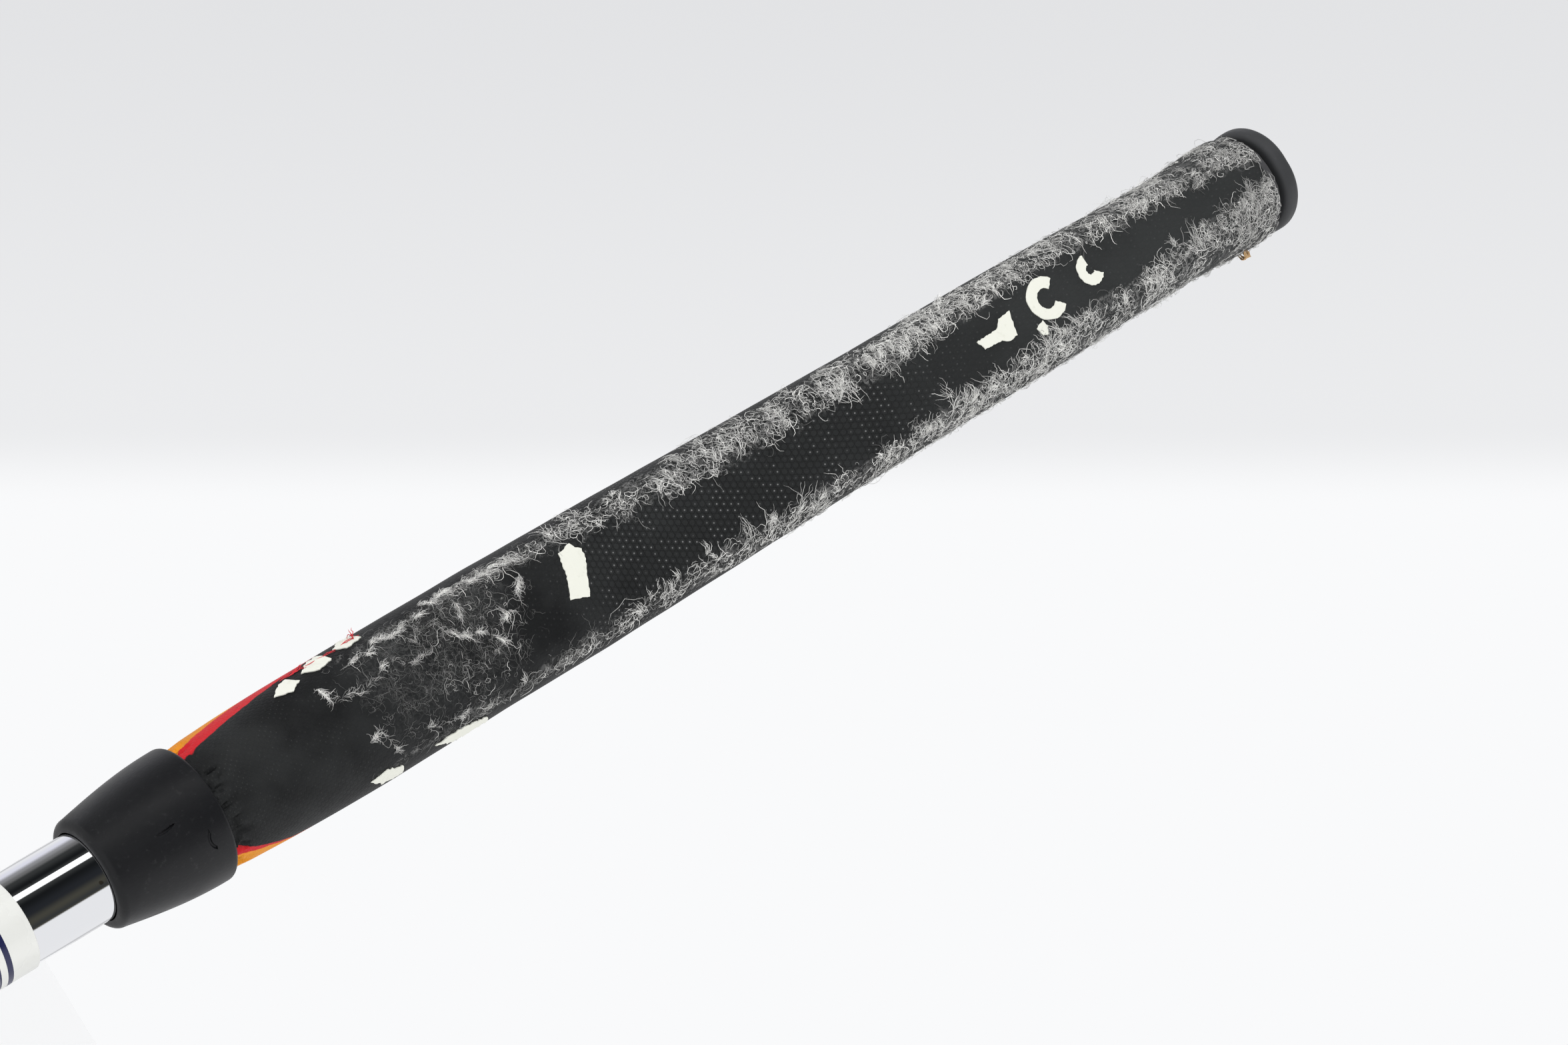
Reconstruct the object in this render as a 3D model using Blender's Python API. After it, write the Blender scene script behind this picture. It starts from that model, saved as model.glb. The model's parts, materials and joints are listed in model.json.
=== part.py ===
"""A golf putter standing at address: heel-toe weighted blade, cranked neck, stepped steel shaft
and a flat-fronted pistol grip with a moulded nose collar and an end cap.

World frame: +Z up, +X from heel to toe, +Y towards the target. The origin is on the flat of the
sole. Everything on the shaft is built in the shaft frame: its origin is where the shaft's axis
meets the ground, its Z runs up the shaft, its X is the way that the grip's flat faces.
"""

import math

import bmesh
import bpy
from mathutils import Vector

# ---------------------------------------------------------------- driving dimensions, in metres
FIT_GAP = 0.0002  # between glued or pressed pieces
SEAT_GAP = 0.0003  # between flat faces that rest on each other

CLUB_LENGTH = 0.8636  # along the shaft, from the ground to the top of the end cap
LIE_ANGLE = math.radians(70.0)  # between the shaft and the ground

HEAD_LENGTH = 0.118
HEAD_HEIGHT = 0.0265
HEAD_DEPTH = 0.034
BLADE_THICKNESS = 0.0095
BLADE_CORNER_RADIUS = 0.008
FLANGE_THICKNESS = 0.0065
FLANGE_CORNER_RADIUS = 0.012
BUMPER_LENGTH = 0.021
BUMPER_HEIGHT = 0.0175
BUMPER_SETBACK = 0.0035  # from the flange's back edge
BUMPER_CORNER_RADIUS = 0.005
SOLE_FLAT_LENGTH = 0.044
SOLE_CAMBER_RADIUS = 0.25
SOLE_CORNER_RADIUS = 0.0055
HEAD_EDGE_ROUND = 0.0007

SWEET_SPOT_X = 0.004  # of the insert's and the sight line's middle
INSERT_LENGTH = 0.064
INSERT_HEIGHT = 0.0155
INSERT_THICKNESS = 0.0042
INSERT_TAPE_THICKNESS = 0.0004
SIGHT_LINE_LENGTH = 0.019
SIGHT_LINE_WIDTH = 0.0016
SIGHT_LINE_DEPTH = 0.0006
WEIGHT_RADIUS = 0.0061
WEIGHT_HEIGHT = 0.006
WEIGHT_INSET = 0.012  # from the head's end to the weight's axis
WEIGHT_RECESS = 0.0003  # below the sole around it
HEX_KEY_RADIUS = 0.0023
HEX_KEY_DEPTH = 0.0032

SHAFT_X = -0.026  # where the shaft's axis meets the ground
HOSEL_WALL = 0.0017
HOSEL_LENGTH = 0.033
HOSEL_RISE = 0.0088  # along the shaft, from the blade's top line to the hosel
SHAFT_INSERTION = 0.026
CRANK_HEIGHT = 0.0095
POST_WIDTH = 0.0095
POST_SHOULDER = 0.00085  # from the post's sides to the blade's faces
POST_SOCKET_DEPTH = 0.0045
NECK_EDGE_ROUND = 0.0011

SHAFT_BUTT_RADIUS = 0.00737
SHAFT_TIP_RADIUS = 0.0047
SHAFT_WALL = 0.0006
SHAFT_STEPS = 9
FIRST_STEP = 0.145  # from the ground to the lowest step
LAST_STEP_DROP = 0.012  # from the band down to the highest step
STEP_TAPER = 0.0015
TIP_WEIGHT_LENGTH = 0.030
BAND_LENGTH = 0.070
BAND_THICKNESS = 0.0002
BAND_BELOW_GRIP = 0.0139

GRIP_LENGTH = 0.267
CAP_FLANGE_THICKNESS = 0.0042
CAP_EDGE_ROUND = 0.0011
CAP_INSET = 0.0002  # of the flange from the wrap's edge
CAP_STEM_LENGTH = 0.014
CAP_VENT_RADIUS = 0.0011
COLLAR_LENGTH = 0.0198
COLLAR_FLOOR = 0.0125  # from the nose to where the wrap's end stops inside
COLLAR_NOSE_WALL = 0.0018
COLLAR_NOSE_ROUND = 0.0012
COLLAR_LIP_WALL = 0.00085
COLLAR_LIP_ROUND = 0.0004
WRAP_THICKNESS = 0.0010
WRAP_SEAM_GAP = 0.0003
TAPE_THICKNESS = 0.0002

# The grip over the tape: share of its run from nose to cap, then its thickness at the sides, the
# back and the front, and half the width of the flat
GRIP_PROFILE = (
    (0.000, 0.00198, 0.00198, 0.00195, 0.0004),
    (0.050, 0.00277, 0.00235, 0.00223, 0.0010),
    (0.268, 0.00345, 0.00393, 0.00223, 0.0050),
    (0.470, 0.00305, 0.00463, 0.00223, 0.0056),
    (0.620, 0.00259, 0.00403, 0.00223, 0.0056),
    (0.760, 0.00265, 0.00463, 0.00223, 0.0056),
    (0.940, 0.00218, 0.00763, 0.00223, 0.0044),
    (0.982, 0.00275, 0.00863, 0.00255, 0.0016),
    (1.000, 0.00263, 0.00863, 0.00255, 0.0008),
)

# ---------------------------------------------------------------- fineness
ROUND_SIDES = 28
BACK_STEPS = 10
SHOULDER_STEPS = 5
FLAT_STEPS = 5
PROFILE_SPLITS = 2
ARC_STEPS = 4
BARREL_STEPS = 7
SEAT_STEPS = 3
BIG = 0.1  # how far a cutter runs past what it cuts

# ---------------------------------------------------------------- worked out
FACE_Y = HEAD_DEPTH / 2
BACK_Y = -HEAD_DEPTH / 2
BLADE_BACK_Y = FACE_Y - BLADE_THICKNESS
SHAFT_Y = FACE_Y + SHAFT_TIP_RADIUS  # ahead of the face by half of a shaft
POST_DEPTH = BLADE_THICKNESS - 2 * POST_SHOULDER
BLADE_TOP = HEAD_HEIGHT / math.sin(LIE_ANGLE)  # along the shaft, from the ground
POST_BOTTOM = BLADE_TOP - POST_SOCKET_DEPTH
HOSEL_BOTTOM = BLADE_TOP + HOSEL_RISE
HOSEL_TOP = HOSEL_BOTTOM + HOSEL_LENGTH
HOSEL_RADIUS = SHAFT_TIP_RADIUS + FIT_GAP + HOSEL_WALL
WEIGHT_X = HEAD_LENGTH / 2 - WEIGHT_INSET
NOSE = CLUB_LENGTH - GRIP_LENGTH
CAP_SEAT = CLUB_LENGTH - CAP_FLANGE_THICKNESS
WRAP_START = NOSE + COLLAR_FLOOR + SEAT_GAP
WRAP_END = CAP_SEAT - SEAT_GAP
SHAFT_BOTTOM = HOSEL_TOP - SHAFT_INSERTION
BAND_TOP = NOSE - BAND_BELOW_GRIP
BAND_BOTTOM = BAND_TOP - BAND_LENGTH
TAPE_INNER = SHAFT_BUTT_RADIUS + FIT_GAP
TAPE_OUTER = TAPE_INNER + TAPE_THICKNESS
CORE_BORE = TAPE_OUTER + FIT_GAP


# ---------------------------------------------------------------- helpers
def clear_scene():
    for obj in list(bpy.data.objects):
        bpy.data.objects.remove(obj, do_unlink=True)


def material(name, colour, roughness, metallic=0.0):
    made = bpy.data.materials.new(name)
    made.use_nodes = True
    shader = made.node_tree.nodes["Principled BSDF"]
    shader.inputs["Base Color"].default_value = (*colour, 1.0)
    shader.inputs["Roughness"].default_value = roughness
    shader.inputs["Metallic"].default_value = metallic
    return made


def object_from(name, bm, finish, parent=None):
    """An object of the bmesh, with its faces pointing out, in the parent's frame."""
    bmesh.ops.recalc_face_normals(bm, faces=bm.faces)
    mesh = bpy.data.meshes.new(name)
    bm.to_mesh(mesh)
    bm.free()
    mesh.shade_smooth()
    mesh.set_sharp_from_angle(angle=math.radians(35.0))
    obj = bpy.data.objects.new(name, mesh)
    bpy.context.scene.collection.objects.link(obj)
    obj.parent = parent
    if finish is not None:
        obj.data.materials.append(finish)
    return obj


def helper(obj):
    """Marks an object as a cutter or as a shape that a Boolean joins to another."""
    obj.hide_render = True
    obj.display_type = "WIRE"
    return obj


def boolean(obj, operation, other):
    cut = obj.modifiers.new(f"{operation.lower()}_{other.name}", "BOOLEAN")
    cut.operation = operation
    cut.solver = "EXACT"
    cut.object = helper(other)


def ring_at(angles, radius, height):
    return [(radius * math.cos(a), radius * math.sin(a), height) for a in angles]


def round_ring(radius, height, sides=ROUND_SIDES):
    return ring_at([math.tau * k / sides for k in range(sides)], radius, height)


def sleeve(name, outer, inner, finish, parent, slit=False):
    """A tube through matching outer and inner rings. With a slit, the rings are open arcs."""
    bm = bmesh.new()
    skins = [[[bm.verts.new(p) for p in ring] for ring in rings] for rings in (outer, inner)]
    count = len(outer[0])
    spans = range(count - 1) if slit else range(count)
    for skin in skins:
        for low, high in zip(skin, skin[1:]):
            for k in spans:
                n = (k + 1) % count
                bm.faces.new((low[k], low[n], high[n], high[k]))
    for end in (0, -1):
        out, into = skins[0][end], skins[1][end]
        for k in spans:
            n = (k + 1) % count
            bm.faces.new((out[k], out[n], into[n], into[k]))
    if slit:
        for k in (0, -1):
            for row in range(len(outer) - 1):
                out, into = skins[0], skins[1]
                bm.faces.new((out[row][k], out[row + 1][k], into[row + 1][k], into[row][k]))
    return object_from(name, bm, finish, parent)


def lofted(name, rings, finish, parent):
    """A solid through rings, closed by a flat face at each end."""
    bm = bmesh.new()
    rows = [[bm.verts.new(p) for p in ring] for ring in rings]
    count = len(rings[0])
    for low, high in zip(rows, rows[1:]):
        for k in range(count):
            n = (k + 1) % count
            bm.faces.new((low[k], low[n], high[n], high[k]))
    bm.faces.new(rows[0])
    bm.faces.new(rows[-1])
    return object_from(name, bm, finish, parent)


def turned(name, profile, finish, parent, sides=ROUND_SIDES):
    """A ring spun about Z from a closed outline of (radius, height) points off the axis."""
    bm = bmesh.new()
    corners = [bm.verts.new((r, 0.0, h)) for r, h in profile]
    edges = [bm.edges.new((a, b)) for a, b in zip(corners, corners[1:] + corners[:1])]
    bmesh.ops.spin(
        bm, geom=corners + edges, cent=(0, 0, 0), axis=(0, 0, 1), angle=math.tau, steps=sides,
        use_merge=True,
    )
    return object_from(name, bm, finish, parent)


def cylinder(name, radius, low, high, finish=None, parent=None, sides=ROUND_SIDES, at=(0, 0)):
    rings = [
        [(x + at[0], y + at[1], z) for x, y, z in round_ring(radius, h, sides)]
        for h in (low, high)
    ]
    return lofted(name, rings, finish, parent)


def fillet(corner, before, after, radius, steps=ARC_STEPS):
    """Points of the arc that rounds an outline's corner."""
    corner, before, after = Vector(corner), Vector(before), Vector(after)
    to_before = (before - corner).normalized()
    to_after = (after - corner).normalized()
    half = to_before.angle(to_after) / 2
    radius = min(radius, 0.49 * min((before - corner).length, (after - corner).length))
    reach = radius / math.tan(half)
    centre = corner + (to_before + to_after).normalized() * (radius / math.sin(half))
    first, last = corner + to_before * reach - centre, corner + to_after * reach - centre
    sweep = first.angle(last)
    points = []
    for k in range(steps + 1):
        a = sweep * k / steps
        blend = (first * math.sin(sweep - a) + last * math.sin(a)) / math.sin(sweep)
        points.append(tuple(centre + blend))
    return points


def rounded(corners):
    """An outline from (x, y, radius) corners, each rounded where its radius isn't 0."""
    outline = []
    for k, (x, y, radius) in enumerate(corners):
        before, after = corners[k - 1][:2], corners[(k + 1) % len(corners)][:2]
        outline += fillet((x, y), before, after, radius) if radius else [(x, y)]
    return outline


def prism(name, outline, low, high, axis="Z", finish=None, parent=None, edge_round=0.0):
    """An outline extruded along Z, or, with axis Y, an outline in X and Z extruded along Y."""
    bm = bmesh.new()
    place = (lambda a, b, h: (a, b, h)) if axis == "Z" else (lambda a, b, h: (a, h, b))
    base = bm.faces.new([bm.verts.new(place(a, b, low)) for a, b in outline])
    grown = bmesh.ops.extrude_face_region(bm, geom=[base])["geom"]
    rise = Vector(place(0, 0, high - low))
    bmesh.ops.translate(bm, vec=rise, verts=[g for g in grown if isinstance(g, bmesh.types.BMVert)])
    bmesh.ops.recalc_face_normals(bm, faces=bm.faces)
    if edge_round:
        sharp = [e for e in bm.edges if e.calc_face_angle(0.0) > math.radians(35.0)]
        bmesh.ops.bevel(
            bm, geom=sharp, offset=edge_round, offset_type="OFFSET", segments=2, profile=0.5,
            affect="EDGES", clamp_overlap=True,
        )
    return object_from(name, bm, finish, parent)


def box(name, low, high, finish=None, parent=None, edge_round=0.0):
    outline = [(low[0], low[1]), (high[0], low[1]), (high[0], high[1]), (low[0], high[1])]
    return prism(name, outline, low[2], high[2], "Z", finish, parent, edge_round)


# ---------------------------------------------------------------- the grip's section
def smooth_between(stations, share):
    """The row of sizes at a share of the run, on a curve through the stations."""
    for k in range(len(stations) - 1):
        if share <= stations[k + 1][0] or k == len(stations) - 2:
            break
    rows = [stations[min(max(i, 0), len(stations) - 1)] for i in (k - 1, k, k + 1, k + 2)]
    span = rows[2][0] - rows[1][0]
    t = (share - rows[1][0]) / span
    sizes = []
    for column in range(1, len(rows[0])):
        p0, p1, p2, p3 = (row[column] for row in rows)
        before = (p2 - p0) / max(rows[2][0] - rows[0][0], 1e-9) * span
        after = (p3 - p1) / max(rows[3][0] - rows[1][0], 1e-9) * span
        sizes.append(
            p1 * (1 + 2 * t) * (1 - t) ** 2 + before * t * (1 - t) ** 2
            + p2 * t * t * (3 - 2 * t) + after * t * t * (t - 1)
        )
    return sizes


def grip_section(share, inset, height, seam=0.0):
    """The grip's D-shaped ring: elliptical back, rounded shoulders and a flat front.

    It starts at the middle of the back, where a seam leaves it open.
    """
    side_wall, back_wall, front_wall, flat = smooth_between(GRIP_PROFILE, share)
    within = CORE_BORE - inset
    half_width, back, front = within + side_wall, within + back_wall, within + front_wall
    start = math.asin(seam / 2 / half_width)
    side = []
    for k in range(BACK_STEPS + 1):
        a = start + (math.pi / 2 - start) * k / BACK_STEPS
        side.append((-back * math.cos(a), half_width * math.sin(a)))
    for k in range(1, SHOULDER_STEPS + 1):
        a = math.pi / 2 * k / SHOULDER_STEPS
        side.append((front * math.sin(a), flat + (half_width - flat) * math.cos(a)))
    flat_points = [(front, flat * (1 - 2 * k / FLAT_STEPS)) for k in range(1, FLAT_STEPS)]
    ring = side + flat_points + [(x, -y) for x, y in reversed(side)]
    if not seam:
        ring = ring[:-1]
    return [(x, y, height) for x, y in ring]


def grip_shares():
    shares = []
    for (low, *_), (high, *_) in zip(GRIP_PROFILE, GRIP_PROFILE[1:]):
        splits = PROFILE_SPLITS if high - low > 0.1 else 1
        shares += [low + (high - low) * k / splits for k in range(splits)]
    return shares + [1.0]


def grip_height(share):
    return WRAP_START + (WRAP_END - WRAP_START) * share


def grip_share(height):
    return (height - WRAP_START) / (WRAP_END - WRAP_START)


# ---------------------------------------------------------------- the grip
def make_grip(axis):
    cover = material("grip_polyurethane", (0.022, 0.023, 0.024), 0.55)
    foam = material("grip_foam", (0.05, 0.05, 0.052), 0.9)
    rubber = material("moulded_rubber", (0.016, 0.017, 0.018), 0.5)
    tape = material("grip_tape", (0.75, 0.70, 0.58), 0.8)

    shares = grip_shares()
    sleeve(
        "grip_wrap",
        [grip_section(s, 0.0, grip_height(s), WRAP_SEAM_GAP) for s in shares],
        [grip_section(s, WRAP_THICKNESS, grip_height(s), WRAP_SEAM_GAP) for s in shares],
        cover, axis, slit=True,
    )

    core_rings = [grip_section(s, WRAP_THICKNESS + FIT_GAP, grip_height(s)) for s in shares]
    bore_rings = [
        ring_at([math.atan2(y, x) for x, y, _ in ring], CORE_BORE, ring[0][2])
        for ring in core_rings
    ]
    sleeve("grip_core", core_rings, bore_rings, foam, axis)

    ends = (WRAP_START, WRAP_END)
    sleeve(
        "grip_tape",
        [round_ring(TAPE_OUTER, h) for h in ends],
        [round_ring(TAPE_INNER, h) for h in ends],
        tape, axis,
    )
    make_nose_collar(axis, rubber)
    make_end_cap(axis, rubber)


def widest(height):
    """The radius of the circle round the grip at a height on the shaft."""
    return max(math.hypot(x, y) for x, y, _ in grip_section(grip_share(height), 0.0, height))


def make_nose_collar(axis, rubber):
    """A rubber cup on the shaft that the wrap's lower end is glued into."""
    lip = NOSE + COLLAR_LENGTH
    floor = NOSE + COLLAR_FLOOR
    bore = SHAFT_BUTT_RADIUS + FIT_GAP
    nose_radius = bore + COLLAR_NOSE_WALL
    lip_seat = widest(lip) + FIT_GAP
    lip_radius = lip_seat + COLLAR_LIP_WALL
    corner = (nose_radius, NOSE)
    profile = [(bore, NOSE)]
    profile += fillet(corner, (bore, NOSE), (nose_radius, lip), COLLAR_NOSE_ROUND)
    barrel_low, barrel_high = NOSE + COLLAR_NOSE_ROUND, lip - COLLAR_LIP_ROUND
    for k in range(1, BARREL_STEPS + 1):
        t = k / BARREL_STEPS
        radius = nose_radius + (lip_radius - nose_radius) * math.sin(t * math.pi / 2)
        profile.append((radius, barrel_low + (barrel_high - barrel_low) * t))
    profile.append((lip_radius - COLLAR_LIP_ROUND, lip))
    for k in range(SEAT_STEPS + 1):
        height = lip + (floor - lip) * k / SEAT_STEPS
        profile.append((widest(max(height, WRAP_START)) + FIT_GAP, height))
    profile.append((bore, floor))
    turned("nose_collar", profile, rubber, axis, sides=36)


def make_end_cap(axis, rubber):
    """The cap's flange follows the wrap's end, and its stem plugs the shaft's bore."""
    section = grip_section(1.0, 0.0, 0.0)
    angles = [math.atan2(y, x) for x, y, _ in section]
    stem_radius = SHAFT_BUTT_RADIUS - SHAFT_WALL - FIT_GAP
    stem_low = CAP_SEAT - CAP_STEM_LENGTH
    rings = [ring_at(angles, stem_radius, h) for h in (stem_low, CAP_SEAT)]
    under = CAP_EDGE_ROUND / 2
    for k in range(ARC_STEPS + 1):
        a = math.pi / 2 * k / ARC_STEPS
        inset = CAP_INSET + under * (1 - math.sin(a))
        rings.append(grip_section(1.0, inset, CAP_SEAT + under * (1 - math.cos(a))))
    for k in range(ARC_STEPS + 1):
        a = math.pi / 2 * k / ARC_STEPS
        inset = CAP_INSET + CAP_EDGE_ROUND * (1 - math.cos(a))
        height = CLUB_LENGTH - CAP_EDGE_ROUND * (1 - math.sin(a))
        rings.append(grip_section(1.0, inset, height))
    vent = [ring_at(angles, CAP_VENT_RADIUS, h) for h in (stem_low, CLUB_LENGTH)]
    sleeve("end_cap", rings, vent, rubber, axis)


# ---------------------------------------------------------------- the shaft
def shaft_stations():
    """(height, outer radius) up the shaft, with a short taper at each step."""
    stations = [(SHAFT_BOTTOM, SHAFT_TIP_RADIUS)]
    rise = (SHAFT_BUTT_RADIUS - SHAFT_TIP_RADIUS) / SHAFT_STEPS
    pitch = (BAND_BOTTOM - LAST_STEP_DROP - FIRST_STEP) / (SHAFT_STEPS - 1)
    for k in range(SHAFT_STEPS):
        height = FIRST_STEP + pitch * k
        radius = SHAFT_TIP_RADIUS + rise * k
        stations += [(height, radius), (height + STEP_TAPER, radius + rise)]
    return stations + [(WRAP_END, SHAFT_BUTT_RADIUS)]


def make_shaft(axis):
    chrome = material("chromed_steel", (0.78, 0.79, 0.80), 0.08, 1.0)
    vinyl = material("band_vinyl", (0.86, 0.86, 0.85), 0.35)
    lead = material("tip_weight_metal", (0.35, 0.35, 0.36), 0.5, 1.0)
    stations = shaft_stations()
    sleeve(
        "shaft",
        [round_ring(r, h) for h, r in stations],
        [round_ring(r - SHAFT_WALL, h) for h, r in stations],
        chrome, axis,
    )
    ends = (BAND_BOTTOM, BAND_TOP)
    band_inner = SHAFT_BUTT_RADIUS + FIT_GAP
    sleeve(
        "shaft_band",
        [round_ring(band_inner + BAND_THICKNESS, h) for h in ends],
        [round_ring(band_inner, h) for h in ends],
        vinyl, axis,
    )
    plug_low = SHAFT_BOTTOM + SEAT_GAP
    plug_radius = SHAFT_TIP_RADIUS - SHAFT_WALL - FIT_GAP
    cylinder("tip_weight", plug_radius, plug_low, plug_low + TIP_WEIGHT_LENGTH, lead, axis)


# ---------------------------------------------------------------- the neck
def post_box(name, axis, low, high, grow=0.0, edge_round=0.0):
    """The neck's post, behind the shaft's line and inside the blade's thickness."""
    middle = (FACE_Y + BLADE_BACK_Y) / 2 - SHAFT_Y
    corner = (-POST_WIDTH / 2 - grow, middle - POST_DEPTH / 2 - grow, low)
    far = (POST_WIDTH / 2 + grow, middle + POST_DEPTH / 2 + grow, high)
    return box(name, corner, far, None, axis, edge_round)


def make_neck(axis, steel):
    bore = SHAFT_TIP_RADIUS + FIT_GAP
    floor = SHAFT_BOTTOM - SEAT_GAP
    chamfer = NECK_EDGE_ROUND / 2
    neck = cylinder("neck", HOSEL_RADIUS, HOSEL_BOTTOM, HOSEL_TOP - chamfer, steel, axis)
    bm = bmesh.new()
    bm.from_mesh(neck.data)
    top = max(bm.faces, key=lambda f: f.calc_center_median().z)
    for face in (top, min(bm.faces, key=lambda f: f.calc_center_median().z)):
        bmesh.ops.bevel(
            bm, geom=list(face.edges), offset=chamfer, offset_type="OFFSET", segments=2,
            profile=0.5, affect="EDGES", clamp_overlap=True,
        )
    bm.to_mesh(neck.data)
    bm.free()
    middle = (FACE_Y + BLADE_BACK_Y) / 2 - SHAFT_Y
    crank = box(
        "neck_crank_shape",
        (-POST_WIDTH / 2, middle - POST_DEPTH / 2, HOSEL_BOTTOM + chamfer),
        (POST_WIDTH / 2, 0.0, HOSEL_BOTTOM + CRANK_HEIGHT),
        None, axis, NECK_EDGE_ROUND,
    )
    post_top = HOSEL_BOTTOM + CRANK_HEIGHT / 2
    post = post_box("neck_post_shape", axis, POST_BOTTOM, post_top, edge_round=NECK_EDGE_ROUND)
    drill = cylinder("neck_bore_cutter", bore, floor, HOSEL_TOP + BIG, parent=axis)
    boolean(neck, "UNION", crank)
    boolean(neck, "UNION", post)
    boolean(neck, "DIFFERENCE", drill)


# ---------------------------------------------------------------- the head
def sole_rise(x):
    """How far the cambered sole has risen at a distance from the middle."""
    camber = max(0.0, abs(x) - SOLE_FLAT_LENGTH / 2) ** 2 / (2 * SOLE_CAMBER_RADIUS)
    past = min(max(0.0, abs(x) - HEAD_LENGTH / 2 + SOLE_CORNER_RADIUS), SOLE_CORNER_RADIUS)
    return camber + SOLE_CORNER_RADIUS - math.sqrt(SOLE_CORNER_RADIUS**2 - past**2)


def sole_outline():
    """The outline, in X and Z, of what is cut away from below the head."""
    half, flat = HEAD_LENGTH / 2, SOLE_FLAT_LENGTH / 2
    corner = half - SOLE_CORNER_RADIUS
    marks = [flat + (corner - flat) * k / ARC_STEPS for k in range(ARC_STEPS + 1)]
    turns = [math.radians(80) * k / ARC_STEPS for k in range(1, ARC_STEPS + 1)]
    marks += [corner + SOLE_CORNER_RADIUS * math.sin(a) for a in turns]
    edge = [(x, sole_rise(x)) for x in marks]
    edge += [(half + 0.001, sole_rise(half)), (half + BIG, -BIG)]
    return [(-x, z) for x, z in reversed(edge)] + edge


def make_head(axis):
    steel = material("satin_steel", (0.52, 0.52, 0.53), 0.32, 1.0)
    below = -FLANGE_THICKNESS / 2
    half = HEAD_LENGTH / 2
    r = BLADE_CORNER_RADIUS
    blade_outline = rounded(
        [(-half, below, 0), (half, below, 0), (half, HEAD_HEIGHT, r), (-half, HEAD_HEIGHT, r)]
    )
    head = prism(
        "head_body", blade_outline, BLADE_BACK_Y, FACE_Y, "Y", steel, edge_round=HEAD_EDGE_ROUND
    )
    joined_y = (BLADE_BACK_Y + FACE_Y) / 2
    r = FLANGE_CORNER_RADIUS
    inset = HEAD_EDGE_ROUND * 1.5
    flange_outline = rounded(
        [(-half + inset, BACK_Y, r), (half - inset, BACK_Y, r), (half - inset, joined_y, 0),
         (-half + inset, joined_y, 0)]
    )
    flange = prism(
        "flange_shape", flange_outline, below, FLANGE_THICKNESS, edge_round=HEAD_EDGE_ROUND
    )
    boolean(head, "UNION", flange)
    for side, name in ((1, "toe"), (-1, "heel")):
        r = BUMPER_CORNER_RADIUS
        outer, inner = side * (half - 2 * inset), side * (half - BUMPER_LENGTH)
        back = BACK_Y + BUMPER_SETBACK
        corners = [(inner, back, r), (outer, back, r), (outer, joined_y, 0), (inner, joined_y, 0)]
        bumper = prism(
            f"{name}_bumper_shape", rounded(corners), below, BUMPER_HEIGHT,
            edge_round=HEAD_EDGE_ROUND * 1.6,
        )
        boolean(head, "UNION", bumper)

    boolean(head, "DIFFERENCE", prism("sole_cutter", sole_outline(), -BIG, BIG, "Y"))
    make_insert(head)
    make_weights(head)
    make_sight_line(head)
    socket_low = POST_BOTTOM - SEAT_GAP
    socket = post_box("neck_socket_cutter", axis, socket_low, socket_low + BIG, grow=FIT_GAP)
    boolean(head, "DIFFERENCE", socket)
    return steel


def stadium(length, height, centre_x, centre_z, steps=8):
    """A slot outline with round ends."""
    r = height / 2
    reach = length / 2 - r
    points = []
    for side, start in ((1, -math.pi / 2), (-1, math.pi / 2)):
        for k in range(steps + 1):
            a = start + math.pi * k / steps
            points.append((centre_x + side * reach + r * math.cos(a), centre_z + r * math.sin(a)))
    return points


def make_insert(head):
    urethane = material("insert_urethane", (0.83, 0.83, 0.80), 0.4)
    film = material("insert_tape", (0.25, 0.25, 0.26), 0.7)
    middle_z = HEAD_HEIGHT / 2
    back = FACE_Y - INSERT_THICKNESS
    pocket_back = back - INSERT_TAPE_THICKNESS - 2 * SEAT_GAP
    shape = stadium(INSERT_LENGTH, INSERT_HEIGHT, SWEET_SPOT_X, middle_z)
    pocket = stadium(
        INSERT_LENGTH + 2 * FIT_GAP, INSERT_HEIGHT + 2 * FIT_GAP, SWEET_SPOT_X, middle_z
    )
    prism("face_insert", shape, back, FACE_Y, "Y", urethane)
    tape_front = back - SEAT_GAP
    prism("insert_tape", shape, tape_front - INSERT_TAPE_THICKNESS, tape_front, "Y", film)
    boolean(head, "DIFFERENCE", prism("insert_pocket_cutter", pocket, pocket_back, BIG, "Y"))


def make_weights(head):
    tungsten = material("weight_metal", (0.30, 0.30, 0.31), 0.35, 1.0)
    low = sole_rise(WEIGHT_X + WEIGHT_RADIUS) + WEIGHT_RECESS
    middle_y = (BACK_Y + BUMPER_SETBACK + BLADE_BACK_Y) / 2
    for side, name in ((1, "toe"), (-1, "heel")):
        at = (side * WEIGHT_X, middle_y)
        weight = cylinder(f"{name}_weight", WEIGHT_RADIUS, low, low + WEIGHT_HEIGHT, tungsten, at=at)
        key = cylinder(
            f"{name}_weight_key_cutter", HEX_KEY_RADIUS, low - BIG, low + HEX_KEY_DEPTH, sides=6,
            at=at,
        )
        boolean(weight, "DIFFERENCE", key)
        bore = cylinder(
            f"{name}_weight_bore_cutter", WEIGHT_RADIUS + FIT_GAP, -BIG,
            low + WEIGHT_HEIGHT + SEAT_GAP, at=at,
        )
        boolean(head, "DIFFERENCE", bore)


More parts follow.
